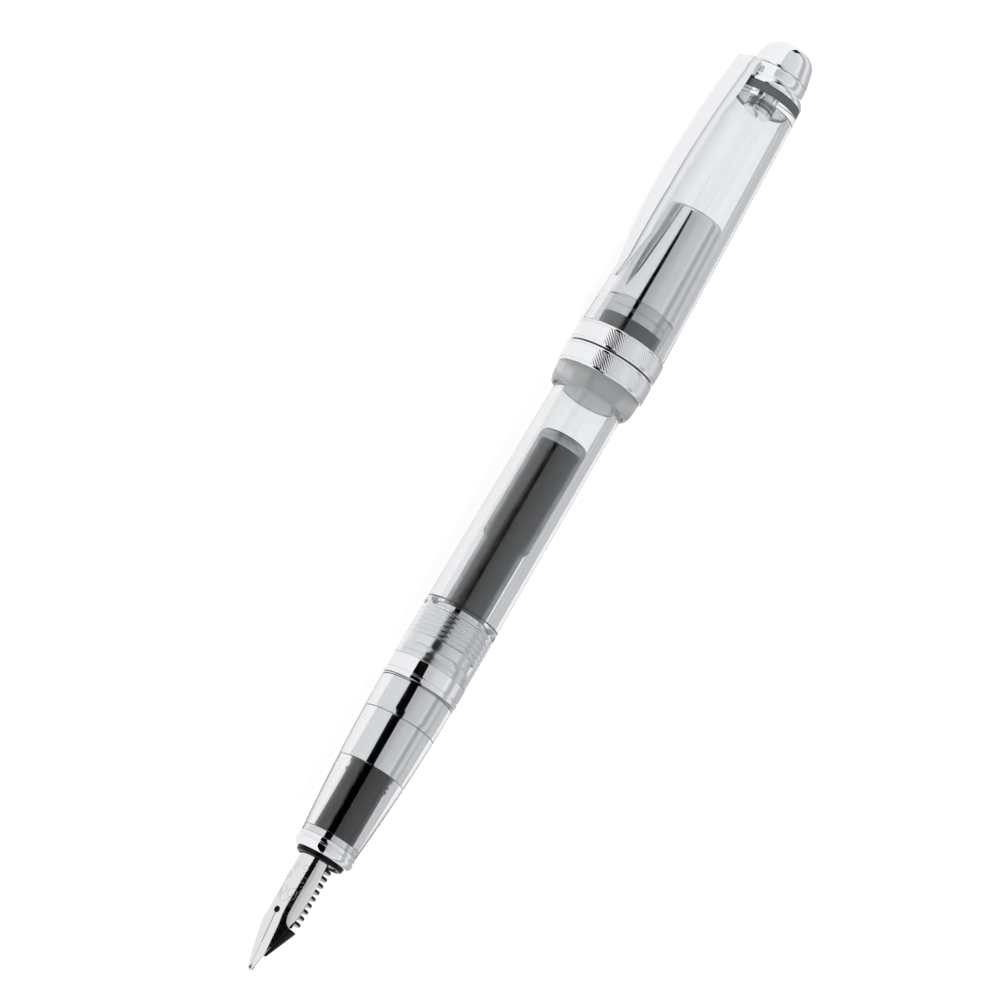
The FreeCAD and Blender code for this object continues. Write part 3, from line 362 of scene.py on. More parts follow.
def screw_ridge(name, start, length, pitch, root, crest):
    """A right-hand thread's ridge, wound round the pen's axis and closed at both ends."""
    bpy.ops.mesh.primitive_circle_add(vertices=4, radius=MM)
    ridge = bpy.context.object
    ridge.name = name
    foot = root - RIDGE_BURIED
    shape = [
        (-RIDGE_ROOT_SHARE * pitch, foot),
        (RIDGE_ROOT_SHARE * pitch, foot),
        (RIDGE_CREST_SHARE * pitch, crest),
        (-RIDGE_CREST_SHARE * pitch, crest),
    ]
    for vertex, (x, radius) in zip(ridge.data.vertices, shape):
        vertex.co = (x * MM, 0, radius * MM)
    ridge.location = ((start + pitch / 2) * MM, axis.y, axis.z)
    winding = ridge.modifiers.new("winding", "SCREW")
    winding.axis = "X"
    winding.steps = winding.render_steps = RIDGE_STEPS
    winding.iterations = int((length - pitch) / pitch)
    winding.screw_offset = pitch * MM
    winding.use_smooth_shade = False
    bpy.ops.object.modifier_apply(modifier="winding")
    bpy.ops.object.transform_apply(location=True, rotation=True, scale=True)
    bpy.ops.object.mode_set(mode="EDIT")
    bpy.ops.mesh.select_all(action="SELECT")
    bpy.ops.mesh.remove_doubles(threshold=WELD)
    bpy.ops.mesh.fill_holes(sides=0)
    bpy.ops.mesh.select_all(action="SELECT")
    bpy.ops.mesh.normals_make_consistent(inside=False)
    bpy.ops.object.mode_set(mode="OBJECT")
    bpy.ops.object.shade_smooth_by_angle(angle=RIDGE_CREASE)
    bpy.ops.object.select_all(action="DESELECT")
    return ridge


def joined(main, *others):
    """Joins others into main, as one piece of several closed shells."""
    bpy.ops.object.select_all(action="DESELECT")
    for piece in (main, *others):
        piece.select_set(True)
    bpy.context.view_layer.objects.active = main
    bpy.ops.object.join()
    bpy.ops.object.select_all(action="DESELECT")
    return main


# Injection-moulded ABS, black right through: a low sheen with the fine grain of the mould.
black_abs = new_finish("moulded_black_abs", "040405", IOR=1.5, Specular_IOR_Level=0.12)
polish_marks(black_abs, 0.12, 0.22, 0.5, 0.002)

bore_end = housing_back - HOUSING_END_WALL
thread_start = housing_back - HOUSING_THREAD_LENGTH
housing = turned("nib_holder", [
    (housing_front + 0.12, HOUSING_BORE, 0.05),
    (bore_end, HOUSING_BORE),
    (bore_end, TUBE_HOLE),
    (housing_back, TUBE_HOLE),
    (housing_back, HOUSING_THREAD_RADIUS, 0.08),
    (housing_back - 0.35, HOUSING_THREAD_RADIUS, 0.08),
    (housing_back - 0.50, HOUSING_RADIUS),
    (collar_back, HOUSING_RADIUS),
    (collar_back, collar_radius, 0.04),
    (housing_front + 0.20, collar_radius, 0.12),
    (housing_front, collar_radius - 0.24, 0.10),
    (housing_front, collar_radius - 0.48, 0.05),
    (housing_front + 0.14, collar_radius - 0.54, 0.03),
])
housing_thread = screw_ridge(
    "nib_holder_thread", thread_start, HOUSING_THREAD_LENGTH - 0.3, HOUSING_PITCH,
    HOUSING_RADIUS, HOUSING_THREAD_RADIUS)
housing = joined(housing, housing_thread)
dress(housing, black_abs, "nib_unit", "black_plastic", "nib_housing")


# ---------------------------------------------------------------- nib
# Stainless sheet, 0.3 mm thick, rolled to a half tube and ground to a point. A breather hole ends the
# slit, which runs to the tip. Shallow scrolls are rolled into the top behind the hole.
NIB_FROM_CLIP = math.radians(19)
NIB_RADIUS = 2.65
NIB_SHEET = 0.30
NIB_TIP_HEIGHT = 1.20
NIB_TIP_HALF = 0.34
NIB_WAIST = 7.3
NIB_WAIST_HALF = 2.42
NIB_WAIST_HEIGHT = 2.35
NIB_SHOULDER = 9.0
NIB_ROUND = 14.5
NIB_WRAP_SHOULDER = math.radians(86)
NIB_WRAP_BACK = math.radians(67)
NIB_WRAP_EASE = 8.0
NIB_BODY_EASE = 3.2
WRAP_LIMIT = 0.98
PRESS_LEAD = 0.4
PRESS_SHARP = 0.6
PRESS_LAST = 0.3
ROOF_SLOPE = 0.7
ROOF_HALF = 1.9
BREATHER_X = 8.7
BREATHER_RADIUS = 0.47
SLIT_WIDTH = 0.10
NIB_CREASE = math.radians(35)
NIB_ROWS = 150
NIB_COLUMNS = 44
ROW_SPREAD = 1.25
THROUGH = 8.0

clip_joint = [j for j in frame["joints"] if j["name"] == "clip_flex"][0]
clip_up = Vector((1, 0, 0)).cross(Vector(clip_joint["axis"])).normalized()
clip_roll = -math.atan2(clip_up.y, clip_up.z)
nib_roll = clip_roll + NIB_FROM_CLIP
nib_front, nib_back, _ = ends("nib")
nib_length = nib_back - nib_front


def smooth_step(value, low, high):
    t = min(1.0, max(0.0, (value - low) / (high - low)))
    return t * t * (3 - 2 * t)


def nib_radius_at(x):
    """The sheet's outside radius: it slopes up from the tip and eases into the round body."""
    if x >= NIB_WAIST:
        t = min(1.0, (x - NIB_WAIST) / NIB_BODY_EASE)
        return NIB_WAIST_HEIGHT + (NIB_RADIUS - NIB_WAIST_HEIGHT) * t * (2 - t)
    return NIB_TIP_HEIGHT + (NIB_WAIST_HEIGHT - NIB_TIP_HEIGHT) * x / NIB_WAIST


def nib_wrap_at(x):
    """How far the sheet reaches round from its top, in radians."""
    if x <= NIB_WAIST:
        half = NIB_TIP_HALF + (NIB_WAIST_HALF - NIB_TIP_HALF) * x / NIB_WAIST
        return math.asin(min(WRAP_LIMIT, half / nib_radius_at(x)))
    if x <= NIB_SHOULDER:
        start = math.asin(WRAP_LIMIT)
        share = math.sin((x - NIB_WAIST) / (NIB_SHOULDER - NIB_WAIST) * math.pi / 2)
        return start + (NIB_WRAP_SHOULDER - start) * share
    t = min(1.0, (x - NIB_SHOULDER) / NIB_WRAP_EASE)
    return NIB_WRAP_SHOULDER + (NIB_WRAP_BACK - NIB_WRAP_SHOULDER) * t


def on_nib(x, angle, lift=0.0):
    """A point on the nib's outside, in millimetres, with the nib's top up.

    The body is round; towards the point the sheet is pressed to a low roof with nearly flat sides.
    """
    radius = nib_radius_at(x) + lift
    round_point = Vector((x, radius * math.sin(angle), radius * math.cos(angle)))
    pressed = 1 - PRESS_SHARP * smooth_step(x, NIB_WAIST - PRESS_LEAD, NIB_SHOULDER + PRESS_LAST)
    pressed -= (1 - PRESS_SHARP) * smooth_step(x, NIB_WAIST - PRESS_LEAD, NIB_ROUND)
    if pressed < 0.001:
        return round_point
    if x < NIB_WAIST:
        half = NIB_TIP_HALF + (NIB_WAIST_HALF - NIB_TIP_HALF) * x / NIB_WAIST
    else:
        half = NIB_WAIST_HALF
    across = half * math.sin(angle) / math.sin(nib_wrap_at(x))
    off = abs(across)
    if off < ROOF_HALF:
        fall = off * off * ROOF_SLOPE / (2 * ROOF_HALF)
    else:
        fall = (off - ROOF_HALF / 2) * ROOF_SLOPE
    return round_point.lerp(Vector((x, across, radius - fall)), pressed)


def seated(piece, front, roll):
    """Moves a piece from its own place, with its top up, to the pen's axis, and applies that."""
    bpy.ops.object.select_all(action="DESELECT")
    piece.select_set(True)
    bpy.context.view_layer.objects.active = piece
    piece.location = (front * MM, axis.y, axis.z)
    piece.rotation_euler = (roll, 0, 0)
    bpy.ops.object.transform_apply(location=True, rotation=True, scale=True)
    bpy.ops.object.select_all(action="DESELECT")
    return piece


def cut_away(piece, *cutters):
    """Subtracts the cutters from a piece and deletes them."""
    for cutter in cutters:
        cut = piece.modifiers.new("cut", "BOOLEAN")
        cut.operation = "DIFFERENCE"
        cut.solver = "MANIFOLD"
        cut.object = cutter
        bpy.context.view_layer.objects.active = piece
        bpy.ops.object.modifier_apply(modifier="cut")
        bpy.data.objects.remove(cutter)


# Ground and polished stainless steel, finer across the point than the plated rings are.
nib_steel = new_finish("polished_stainless_nib_steel", "DCDDDE", Metallic=1.0)
polish_marks(nib_steel, 0.05, 0.14, 0.8, 0.002)

bpy.ops.mesh.primitive_grid_add(x_subdivisions=NIB_ROWS, y_subdivisions=NIB_COLUMNS, size=2)
nib = bpy.context.object
nib.name = "nib_sheet"
for vertex in nib.data.vertices:
    x = nib_length * ((vertex.co.x + 1) / 2) ** ROW_SPREAD
    vertex.co = on_nib(x, vertex.co.y * nib_wrap_at(x)) * MM
sheet_metal = nib.modifiers.new("sheet", "SOLIDIFY")
sheet_metal.thickness = NIB_SHEET * MM
sheet_metal.offset = -1
bpy.ops.object.modifier_apply(modifier="sheet")

bpy.ops.mesh.primitive_cylinder_add(
    vertices=48, radius=BREATHER_RADIUS * MM, depth=THROUGH * MM, location=(BREATHER_X * MM, 0, 0))
breather = bpy.context.object
bpy.ops.mesh.primitive_cube_add(size=1)
slit = bpy.context.object
slit.scale = ((BREATHER_X + 1) * MM, SLIT_WIDTH * MM, THROUGH * MM)
slit.location = ((BREATHER_X - 1) / 2 * MM, 0, 0)
bpy.ops.object.transform_apply(location=True, rotation=True, scale=True)
cut_away(nib, breather, slit)
bpy.context.view_layer.objects.active = nib
nib.select_set(True)
bpy.ops.object.shade_smooth_by_angle(angle=NIB_CREASE)
seated(nib, nib_front, nib_roll)
dress(nib, nib_steel, "nib_unit", "nib_steel", "nib")

# Pellet of hard alloy, welded under the tip.
PELLET_RADIUS = 0.40
PELLET_X = 0.42
PELLET_SUNK = 0.04
tip_alloy = new_finish("sintered_tip_alloy", "5A5B5D", Metallic=1.0)
polish_marks(tip_alloy, 0.18, 0.32, 0.15, 0.004)
bpy.ops.mesh.primitive_uv_sphere_add(segments=40, ring_count=24, radius=PELLET_RADIUS * MM)
pellet = bpy.context.object
pellet.name = "nib_pellet"
pellet.scale = (1.15, 0.95, 0.95)
pellet.location = (PELLET_X * MM, 0, (NIB_TIP_HEIGHT - NIB_SHEET + PELLET_SUNK) * MM)
bpy.ops.object.transform_apply(location=True, rotation=True, scale=True)
bpy.ops.object.shade_smooth()
seated(pellet, nib_front, nib_roll)
dress(pellet, tip_alloy, "nib_unit", "nib_steel", "nib_tipping")

# Rolled-in scrolls: two mirrored sprays of fine lines behind the breather hole.
SCROLL_WIRE = 0.028
SCROLL_SET_IN = 0.01
SCROLLS = (  # place along the nib, angle from its top, size and number of turns
    (11.4, 0.28, 1.15, 1.3), (13.6, 0.50, 0.85, 1.2), (15.3, 0.26, 0.7, 1.1))
SCROLL_POINTS = 36
SCROLL_CLOSES = 0.78
SCROLL_FLAT = 0.8
BORDER_START = 10.0
BORDER_LENGTH = 6.6
BORDER_POINTS = 30
# The lines get darker, rougher steel than the nib: painted shade that stands in for the shade inside the
# rolled grooves.
rolled_line_painted_shade = new_finish("painted_shade_of_rolled_lines", "9C9EA1", Metallic=1.0)
polish_marks(rolled_line_painted_shade, 0.3, 0.5, 0.3, 0.002)


def nib_line(path):
    """One rolled line that follows (x, angle) places on the nib, as a thin closed tube set in its face."""
    curve = bpy.data.curves.new("nib_line", "CURVE")
    curve.dimensions = "3D"
    curve.bevel_depth = SCROLL_WIRE * MM
    curve.bevel_resolution = 1
    curve.use_fill_caps = True
    spline = curve.splines.new("POLY")
    spline.points.add(len(path) - 1)
    for point, (x, angle) in zip(spline.points, path):
        point.co = (*(on_nib(x, angle, -SCROLL_SET_IN) * MM), 1)
    line = bpy.data.objects.new("nib_line", curve)
    bpy.context.scene.collection.objects.link(line)
    bpy.ops.object.select_all(action="DESELECT")
    line.select_set(True)
    bpy.context.view_layer.objects.active = line
    bpy.ops.object.convert(target="MESH")
    return bpy.context.object


nib_lines = []
for side in (1, -1):
    for scroll_x, scroll_angle, size, turns in SCROLLS:
        spiral = []
        for k in range(SCROLL_POINTS + 1):
            share = k / SCROLL_POINTS
            reach = size * (1 - SCROLL_CLOSES * share)
            sweep = share * turns * 2 * math.pi
            spiral.append((
                scroll_x - reach * math.cos(sweep),
                side * (scroll_angle + reach * SCROLL_FLAT * math.sin(sweep) / NIB_RADIUS),
            ))
        nib_lines.append(nib_line(spiral))
    border = []
    for k in range(BORDER_POINTS + 1):
        share = k / BORDER_POINTS
        bow = 0.12 + 0.72 * math.sin(share * math.pi * 0.75)
        border.append((BORDER_START + BORDER_LENGTH * share, side * bow))
    nib_lines.append(nib_line(border))
scrolls = joined(*nib_lines)
scrolls.name = "nib_rolled_lines"
seated(scrolls, nib_front, nib_roll)
dress(scrolls, rolled_line_painted_shade, "nib_unit", "nib_steel")


# ---------------------------------------------------------------- feed
# A black moulded bar under the nib that leads the ink forward. Its comb of thin fins holds spare ink.
feed_front, feed_back, feed_radius = ends("feed")
FEED_BEAK = 0.36
FEED_CORE = 1.25
COMB_START = 7.62
COMB_PITCH = 1.015
COMB_FINS = 9
FIN_THICKNESS = 0.40
FEED_TOP_FLOOR = 0.5
FLOOR_CUTTER = 8.0
INNER_STEPS = 96
feed_shoulder = nib_front + NIB_WAIST
feed_corners = [
    (feed_front, 0),
    (feed_front, FEED_BEAK, 0.1),
    (feed_shoulder - 0.05, feed_radius, 0.1),
    (feed_shoulder + 0.05, FEED_CORE),
]
for k in range(COMB_FINS):
    fin = nib_front + COMB_START + COMB_PITCH * (k + 1) - FIN_THICKNESS
    feed_corners += [
        (fin, FEED_CORE),
        (fin, feed_radius, 0.05),
        (fin + FIN_THICKNESS, feed_radius, 0.05),
        (fin + FIN_THICKNESS, FEED_CORE),
    ]
feed_corners += [
    (housing_front + 0.2, FEED_CORE),
    (housing_front + 0.2, feed_radius),
    (feed_back, feed_radius),
    (feed_back, 0),
]
feed = turned("ink_feed", feed_corners, steps=INNER_STEPS)
feed_top = turned("ink_feed_top", [
    (feed_shoulder + 0.1, 0),
    (feed_shoulder + 0.1, feed_radius - SEAT_GAP),
    (housing_front + 0.4, feed_radius - SEAT_GAP),
    (housing_front + 0.4, 0),
], steps=INNER_STEPS)
bpy.ops.mesh.primitive_cube_add(size=1)
lower_half = bpy.context.object
lower_half.scale = (30 * MM, FLOOR_CUTTER * MM, FLOOR_CUTTER * MM)
lower_half.location = (0, 0, (FEED_TOP_FLOOR - FLOOR_CUTTER / 2) * MM)
bpy.ops.object.transform_apply(location=True, rotation=True, scale=True)
seated(lower_half, feed_shoulder, nib_roll)
cut_away(feed_top, lower_half)
feed = joined(feed, feed_top)
dress(feed, black_abs, "nib_unit", "black_plastic", "feed")

# The piercing tube stays as it is, in the milky plastic that such tubes are moulded from.
tube_plastic = new_finish("natural_polypropylene", "D9DAD8", IOR=1.49, Transmission_Weight=0.4)
polish_marks(tube_plastic, 0.3, 0.45, 0.5, 0.004)
piercing_tube = frame["nodes"]["piercing_tube"]
piercing_tube.data.materials.clear()
piercing_tube.data.materials.append(tube_plastic)


# ---------------------------------------------------------------- chrome sleeve, trim ring and coupling
# A plated brass sleeve lines the grip and the barrel's mouth. The trim ring sits between grip and
# barrel, and the coupling behind it carries the thread that the barrel screws on to.
SLEEVE_BORE = 3.30
sleeve = turned("chrome_sleeve", [
    (sleeve_front, SLEEVE_BORE, 0.05),
    (sleeve_back, SLEEVE_BORE, 0.05),
    (sleeve_back, sleeve_radius, 0.10),
    (step_x + 0.80, sleeve_radius, 0.30),
    (step_x + SEAT_GAP, sleeve_radius - SLEEVE_THIN, 0.20),
    (sleeve_front, sleeve_radius - SLEEVE_THIN, 0.10),
])
dress(sleeve, chrome, "grip", "chrome_plate", "section_sleeve")

trim_front, trim_back, trim_radius = ends("section_trim_ring")
coupling_front, coupling_back, shoulder_radius = ends("threaded_coupling")
COUPLING_BORE = 4.06
COUPLING_ROOT = 4.46
THREAD_RADIUS = 4.82
THREAD_PITCH = 0.72
THREAD_LENGTH = 5.2
TRIM_FLANGE = 0.65
TRIM_GROOVE = 0.20
TRIM_GROOVE_DEPTH = 0.24
SHOULDER_LENGTH = 2.2
trim_ring = turned("trim_ring", [
    (trim_front, COUPLING_ROOT + SEAT_GAP),
    (trim_back, COUPLING_ROOT + SEAT_GAP),
    (trim_back, trim_radius - 0.05, 0.12),
    (trim_front + TRIM_FLANGE + TRIM_GROOVE, trim_radius - 0.04, 0.06),
    (trim_front + TRIM_FLANGE + TRIM_GROOVE, trim_radius - TRIM_GROOVE_DEPTH),
    (trim_front + TRIM_FLANGE, trim_radius - TRIM_GROOVE_DEPTH),
    (trim_front + TRIM_FLANGE, trim_radius, 0.10),
    (trim_front, trim_radius, 0.14),
])
dress(trim_ring, chrome, "grip", "chrome_plate", "section_trim_ring")

thread_front = coupling_back - THREAD_LENGTH
shoulder_back = trim_back + SHOULDER_LENGTH
coupling = turned("threaded_coupling_body", [
    (coupling_front, COUPLING_BORE),
    (coupling_back, COUPLING_BORE, 0.05),
    (coupling_back, COUPLING_ROOT + 0.05, 0.10),
    (shoulder_back, COUPLING_ROOT, 0.05),
    (shoulder_back - 0.25, shoulder_radius - 0.22, 0.15),
    (shoulder_back - 0.85, shoulder_radius, 0.25),
    (trim_back + 0.95, shoulder_radius, 0.04),
    (trim_back + 0.88, shoulder_radius - 0.14),
    (trim_back + 0.74, shoulder_radius - 0.14),
    (trim_back + 0.67, shoulder_radius, 0.04),
    (trim_back + SEAT_GAP, shoulder_radius, 0.06),
    (trim_back + SEAT_GAP, COUPLING_ROOT),
    (coupling_front, COUPLING_ROOT),
])
coupling_thread = screw_ridge(
    "coupling_thread", thread_front, THREAD_LENGTH + 0.5, THREAD_PITCH, COUPLING_ROOT, THREAD_RADIUS)
coupling = joined(coupling, coupling_thread)

# Barrel-plated brass: bright, but left dull by the tumbling, as hidden screw threads are.
plated_thread = new_finish("dull_plated_brass", "F2F3F4", Metallic=1.0)
polish_marks(plated_thread, 0.17, 0.26, 1.2, 0.002)
dress(coupling, plated_thread, "grip", "chrome_plate", "threaded_coupling")


# ---------------------------------------------------------------- ink cartridge
# A blow-moulded polythene cartridge with a thin front half and a wider back half. Black ink fills it
# but for a little air at the back, and the ball that sealed its mouth floats loose inside.
cart_front, cart_back, cart_radius = ends("cartridge_shell")
CART_FRONT_RADIUS = 3.13
CART_FRONT_LENGTH = 34.2
CART_CONE = 0.6
CART_WALL = 0.45
CART_MOUTH = 1.16
CART_ROUND = 1.2
cart_neck = cart_front + CART_FRONT_LENGTH

# Low-density polythene: waxy and half clear, with a soft sheen and slight unevenness from blowing.
polythene = new_finish(
    "blown_ldpe", "D6D8DA", IOR=1.51, Specular_IOR_Level=0.08, Transmission_Weight=0.985)
polish_marks(polythene, 0.16, 0.26, 2.4, 0.003)
shell = turned("cartridge_bottle", [
    (cart_front, CART_MOUTH, 0.1),
    (cart_front + CART_WALL * 2, CART_MOUTH),
    (cart_front + CART_WALL * 2, CART_FRONT_RADIUS - CART_WALL, 0.2),
    (cart_neck, CART_FRONT_RADIUS - CART_WALL, 0.1),
    (cart_neck + CART_CONE, cart_radius - CART_WALL, 0.1),
    (cart_back - CART_WALL, cart_radius - CART_WALL, CART_ROUND * 0.7),
    (cart_back - CART_WALL, 0),
    (cart_back, 0),
    (cart_back, cart_radius, CART_ROUND),
    (cart_neck + CART_CONE, cart_radius, 0.2),
    (cart_neck, CART_FRONT_RADIUS, 0.2),
    (cart_front, CART_FRONT_RADIUS, 0.3),
])
dress(shell, polythene, "cartridge", "cartridge_plastic", "cartridge_shell")

# Dye ink is as black as anything in the pen; only its surface catches light through the bottle.
black_ink = new_finish("black_dye_ink", "050506", IOR=1.34, Specular_IOR_Level=0.15, Roughness=0.08)
ink_front, ink_back, ink_radius = ends("cartridge_ink")
ink_gap = CART_WALL + SEAT_GAP
tube_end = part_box("piercing_tube")[1].x / MM + 0.06
ball_low, ball_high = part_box("cartridge_ball")
ball_x = (ball_low.x + ball_high.x) / 2 / MM
ball_room = (ball_high.x - ball_low.x) / 2 / MM + SEAT_GAP
ink = turned("ink_fill", [
    (ink_front, CART_MOUTH),
    (tube_end, CART_MOUTH),
    (tube_end, 0),
    (ball_x - ball_room, 0),
    (ball_x - ball_room, ball_room, 0.5),
    (ball_x + ball_room, ball_room, 0.5),
    (ball_x + ball_room, 0),
    (ink_back, 0),
    (ink_back, ink_radius, 0.25),
    (cart_neck + CART_CONE + SEAT_GAP, ink_radius, 0.1),
    (cart_neck + SEAT_GAP, CART_FRONT_RADIUS - ink_gap, 0.1),
    (ink_front, CART_FRONT_RADIUS - ink_gap, 0.2),
], steps=INNER_STEPS)
dress(ink, black_ink, "cartridge", "black_ink", "cartridge_ink")
ball = frame["nodes"]["cartridge_ball"]
ball.data.materials.clear()
ball.data.materials.append(polythene)


# ---------------------------------------------------------------- clear barrel
# A turned acrylic tube, widest at the grip. Its front bore takes the coupling's thread, a shoulder
# leads down to the cartridge bore, and a socket at the back holds the plated plug.
barrel_front, barrel_back, barrel_radius = ends("barrel")
BARREL_NARROWS = 0.41
BARREL_SOCKET = 5.0
BARREL_BORE = 4.0
TAIL_SOCKET = 4.52
TAIL_TENON = 5.12
BARREL_THREAD_DEPTH = 0.05
BARREL_CONE = 0.2
BARREL_TURNS = 7
barrel_thread = []
for k in range(BARREL_TURNS):
    turn_start = thread_front + THREAD_PITCH * k
    barrel_thread += [
        (turn_start + THREAD_PITCH * 0.15, BARREL_SOCKET),
        (turn_start + THREAD_PITCH * 0.50, BARREL_SOCKET + BARREL_THREAD_DEPTH),
        (turn_start + THREAD_PITCH * 0.85, BARREL_SOCKET),
    ]
socket_end = sleeve_back + 0.2
tenon_front = barrel_back - TAIL_TENON
barrel = turned("clear_barrel", [
    (barrel_front, BARREL_SOCKET),
    *barrel_thread,
    (socket_end, BARREL_SOCKET, 0.08),
    (socket_end + BARREL_CONE, BARREL_BORE, 0.08),
    (tenon_front, BARREL_BORE, 0.05),
    (tenon_front, TAIL_SOCKET, 0.05),
    (barrel_back, TAIL_SOCKET, 0.05),
    (barrel_back, barrel_radius - BARREL_NARROWS, 0.3),
    (barrel_front, barrel_radius, 0.05),
])
dress(barrel, clear_acrylic, "barrel", "clear_resin", "barrel")


# ---------------------------------------------------------------- barrel plug and its seal ring
# A plated brass plug closes the barrel and gives the pen its weight. Its tenon is pressed into the
# acrylic over a dark rubber ring.
tail_front, tail_back, tail_radius = ends("barrel_tail")
TENON_RADIUS = 4.50
TAIL_TAPER = 0.60
TAIL_BORE = 2.2
TAIL_FLOOR = 2.0
SEAL_PLACE = 0.35
SEAL_WIDTH = 2.0
SEAL_DEPTH = 1.35
tail = turned("barrel_plug", [
    (tail_front, TAIL_BORE, 0.05),
    (tail_back - TAIL_FLOOR, TAIL_BORE),
    (tail_back - TAIL_FLOOR, 0),
    (tail_back, 0),
    (tail_back, tail_radius - TAIL_TAPER, 0.60),
    (barrel_back + SEAT_GAP, tail_radius, 0.12),
    (barrel_back + SEAT_GAP, TENON_RADIUS),
    (barrel_back - 1.35, TENON_RADIUS, 0.05),
    (barrel_back - 1.45, TENON_RADIUS - 0.2),
    (barrel_back - 1.65, TENON_RADIUS - 0.2),
    (barrel_back - 1.75, TENON_RADIUS, 0.05),
    (tail_front + SEAL_PLACE + SEAL_WIDTH, TENON_RADIUS, 0.05),
    (tail_front + SEAL_PLACE + SEAL_WIDTH, TENON_RADIUS - SEAL_DEPTH),
    (tail_front + SEAL_PLACE, TENON_RADIUS - SEAL_DEPTH),
    (tail_front + SEAL_PLACE, TENON_RADIUS, 0.04),
    (tail_front, TENON_RADIUS, 0.12),
])
dress(tail, chrome, "barrel", "chrome_plate", "barrel_tail")

# Nitrile rubber: dark grey and dull, with a fine bloom.
nitrile = new_finish("nitrile_rubber", "606265", IOR=1.52, Specular_IOR_Level=0.35)
polish_marks(nitrile, 0.5, 0.7, 0.4, 0.002)
seal_front, seal_back, seal_radius = ends("tail_seal_ring")
seal_ring = turned("plug_seal", [
    (seal_front, TENON_RADIUS - SEAL_DEPTH + SEAT_GAP, 0.1),
    (seal_back, TENON_RADIUS - SEAL_DEPTH + SEAT_GAP, 0.1),
    (seal_back, seal_radius, 0.25),
    (seal_front, seal_radius, 0.25),
])
dress(seal_ring, nitrile, "barrel", "seal_rubber", "tail_seal_ring")


# ---------------------------------------------------------------- clear cap and its mouth ring
# The cap is a clear acrylic tube that narrows to a rounded end. A second clear ring, with a rolled
# lip, is cemented in from the front and carries the two bands.
mouth_front, mouth_back, lip_radius = ends("cap_mouth_ring")
cap_front, cap_top, _ = ends("cap_tube")
band_front, band_split, band_radius = ends("cap_band_lower")
upper_front, bands_back, _ = ends("cap_band_upper")
CAP_MOUTH_BORE = 5.4525
BAND_BORE = 6.0025
LIP_WALL = 0.42
# Moulded acrylic: the same resin, but with the faint haze that a mould leaves on it.
moulded_acrylic = new_finish(
    "moulded_acrylic", "F4F5F6", IOR=1.49, Specular_IOR_Level=0.4, Transmission_Weight=0.72)
polish_marks(moulded_acrylic, 0.08, 0.18, 3.0, 0.003)
mouth_ring = turned("cap_lip", [
    (mouth_front, CAP_MOUTH_BORE + 0.02, 0.20),
    (mouth_back, CAP_MOUTH_BORE),
    (mouth_back, BAND_BORE - SEAT_GAP),
    (band_front - SEAT_GAP, BAND_BORE - SEAT_GAP),
    (band_front - SEAT_GAP, lip_radius, 0.05),
    (mouth_front + 1.0, lip_radius - 0.08, 0.5),
    (mouth_front, CAP_MOUTH_BORE + LIP_WALL, 0.20),
])
dress(mouth_ring, moulded_acrylic, "cap", "clear_resin", "cap_mouth_ring")

CAP_POST_BORE = 5.21
CAP_END_BORE = 4.14
CAP_END_WALL = 0.7
CAP_TOP_RADIUS = 5.28
SCREW_HOLE = 1.27
cap = turned("clear_cap", [
    (cap_front, CAP_MOUTH_BORE),
    (bands_back, CAP_MOUTH_BORE, 0.3),
    (barrel_back - 0.35, CAP_POST_BORE, 0.3),
    (cap_top - CAP_END_WALL, CAP_END_BORE, 0.2),
    (cap_top - CAP_END_WALL, SCREW_HOLE),
    (cap_top, SCREW_HOLE),
    (cap_top, CAP_TOP_RADIUS, 0.12),
    (bands_back + SEAT_GAP, band_radius - 0.20, 0.05),
    (bands_back + SEAT_GAP, BAND_BORE - SEAT_GAP),
    (cap_front, BAND_BORE - SEAT_GAP),
])
dress(cap, clear_acrylic, "cap", "clear_resin", "cap_tube")


# ---------------------------------------------------------------- two knurled bands
# Plated rings pressed over the mouth ring. A wheel has rolled slanted ridges round each, between a
# plain bevelled edge in front and behind.
KNURL_PITCH = 0.44
KNURL_DEPTH = 0.038
KNURL_SLANT = math.radians(45)
KNURL_ROWS = 9
RIDGE_SHAPE = (1.0, 0.45, 0.0, 0.45)
BELT_GAP = 0.03
BELT_DEPTH = 0.3
BAND_EDGE = 0.14
BAND_BEAD = 0.42


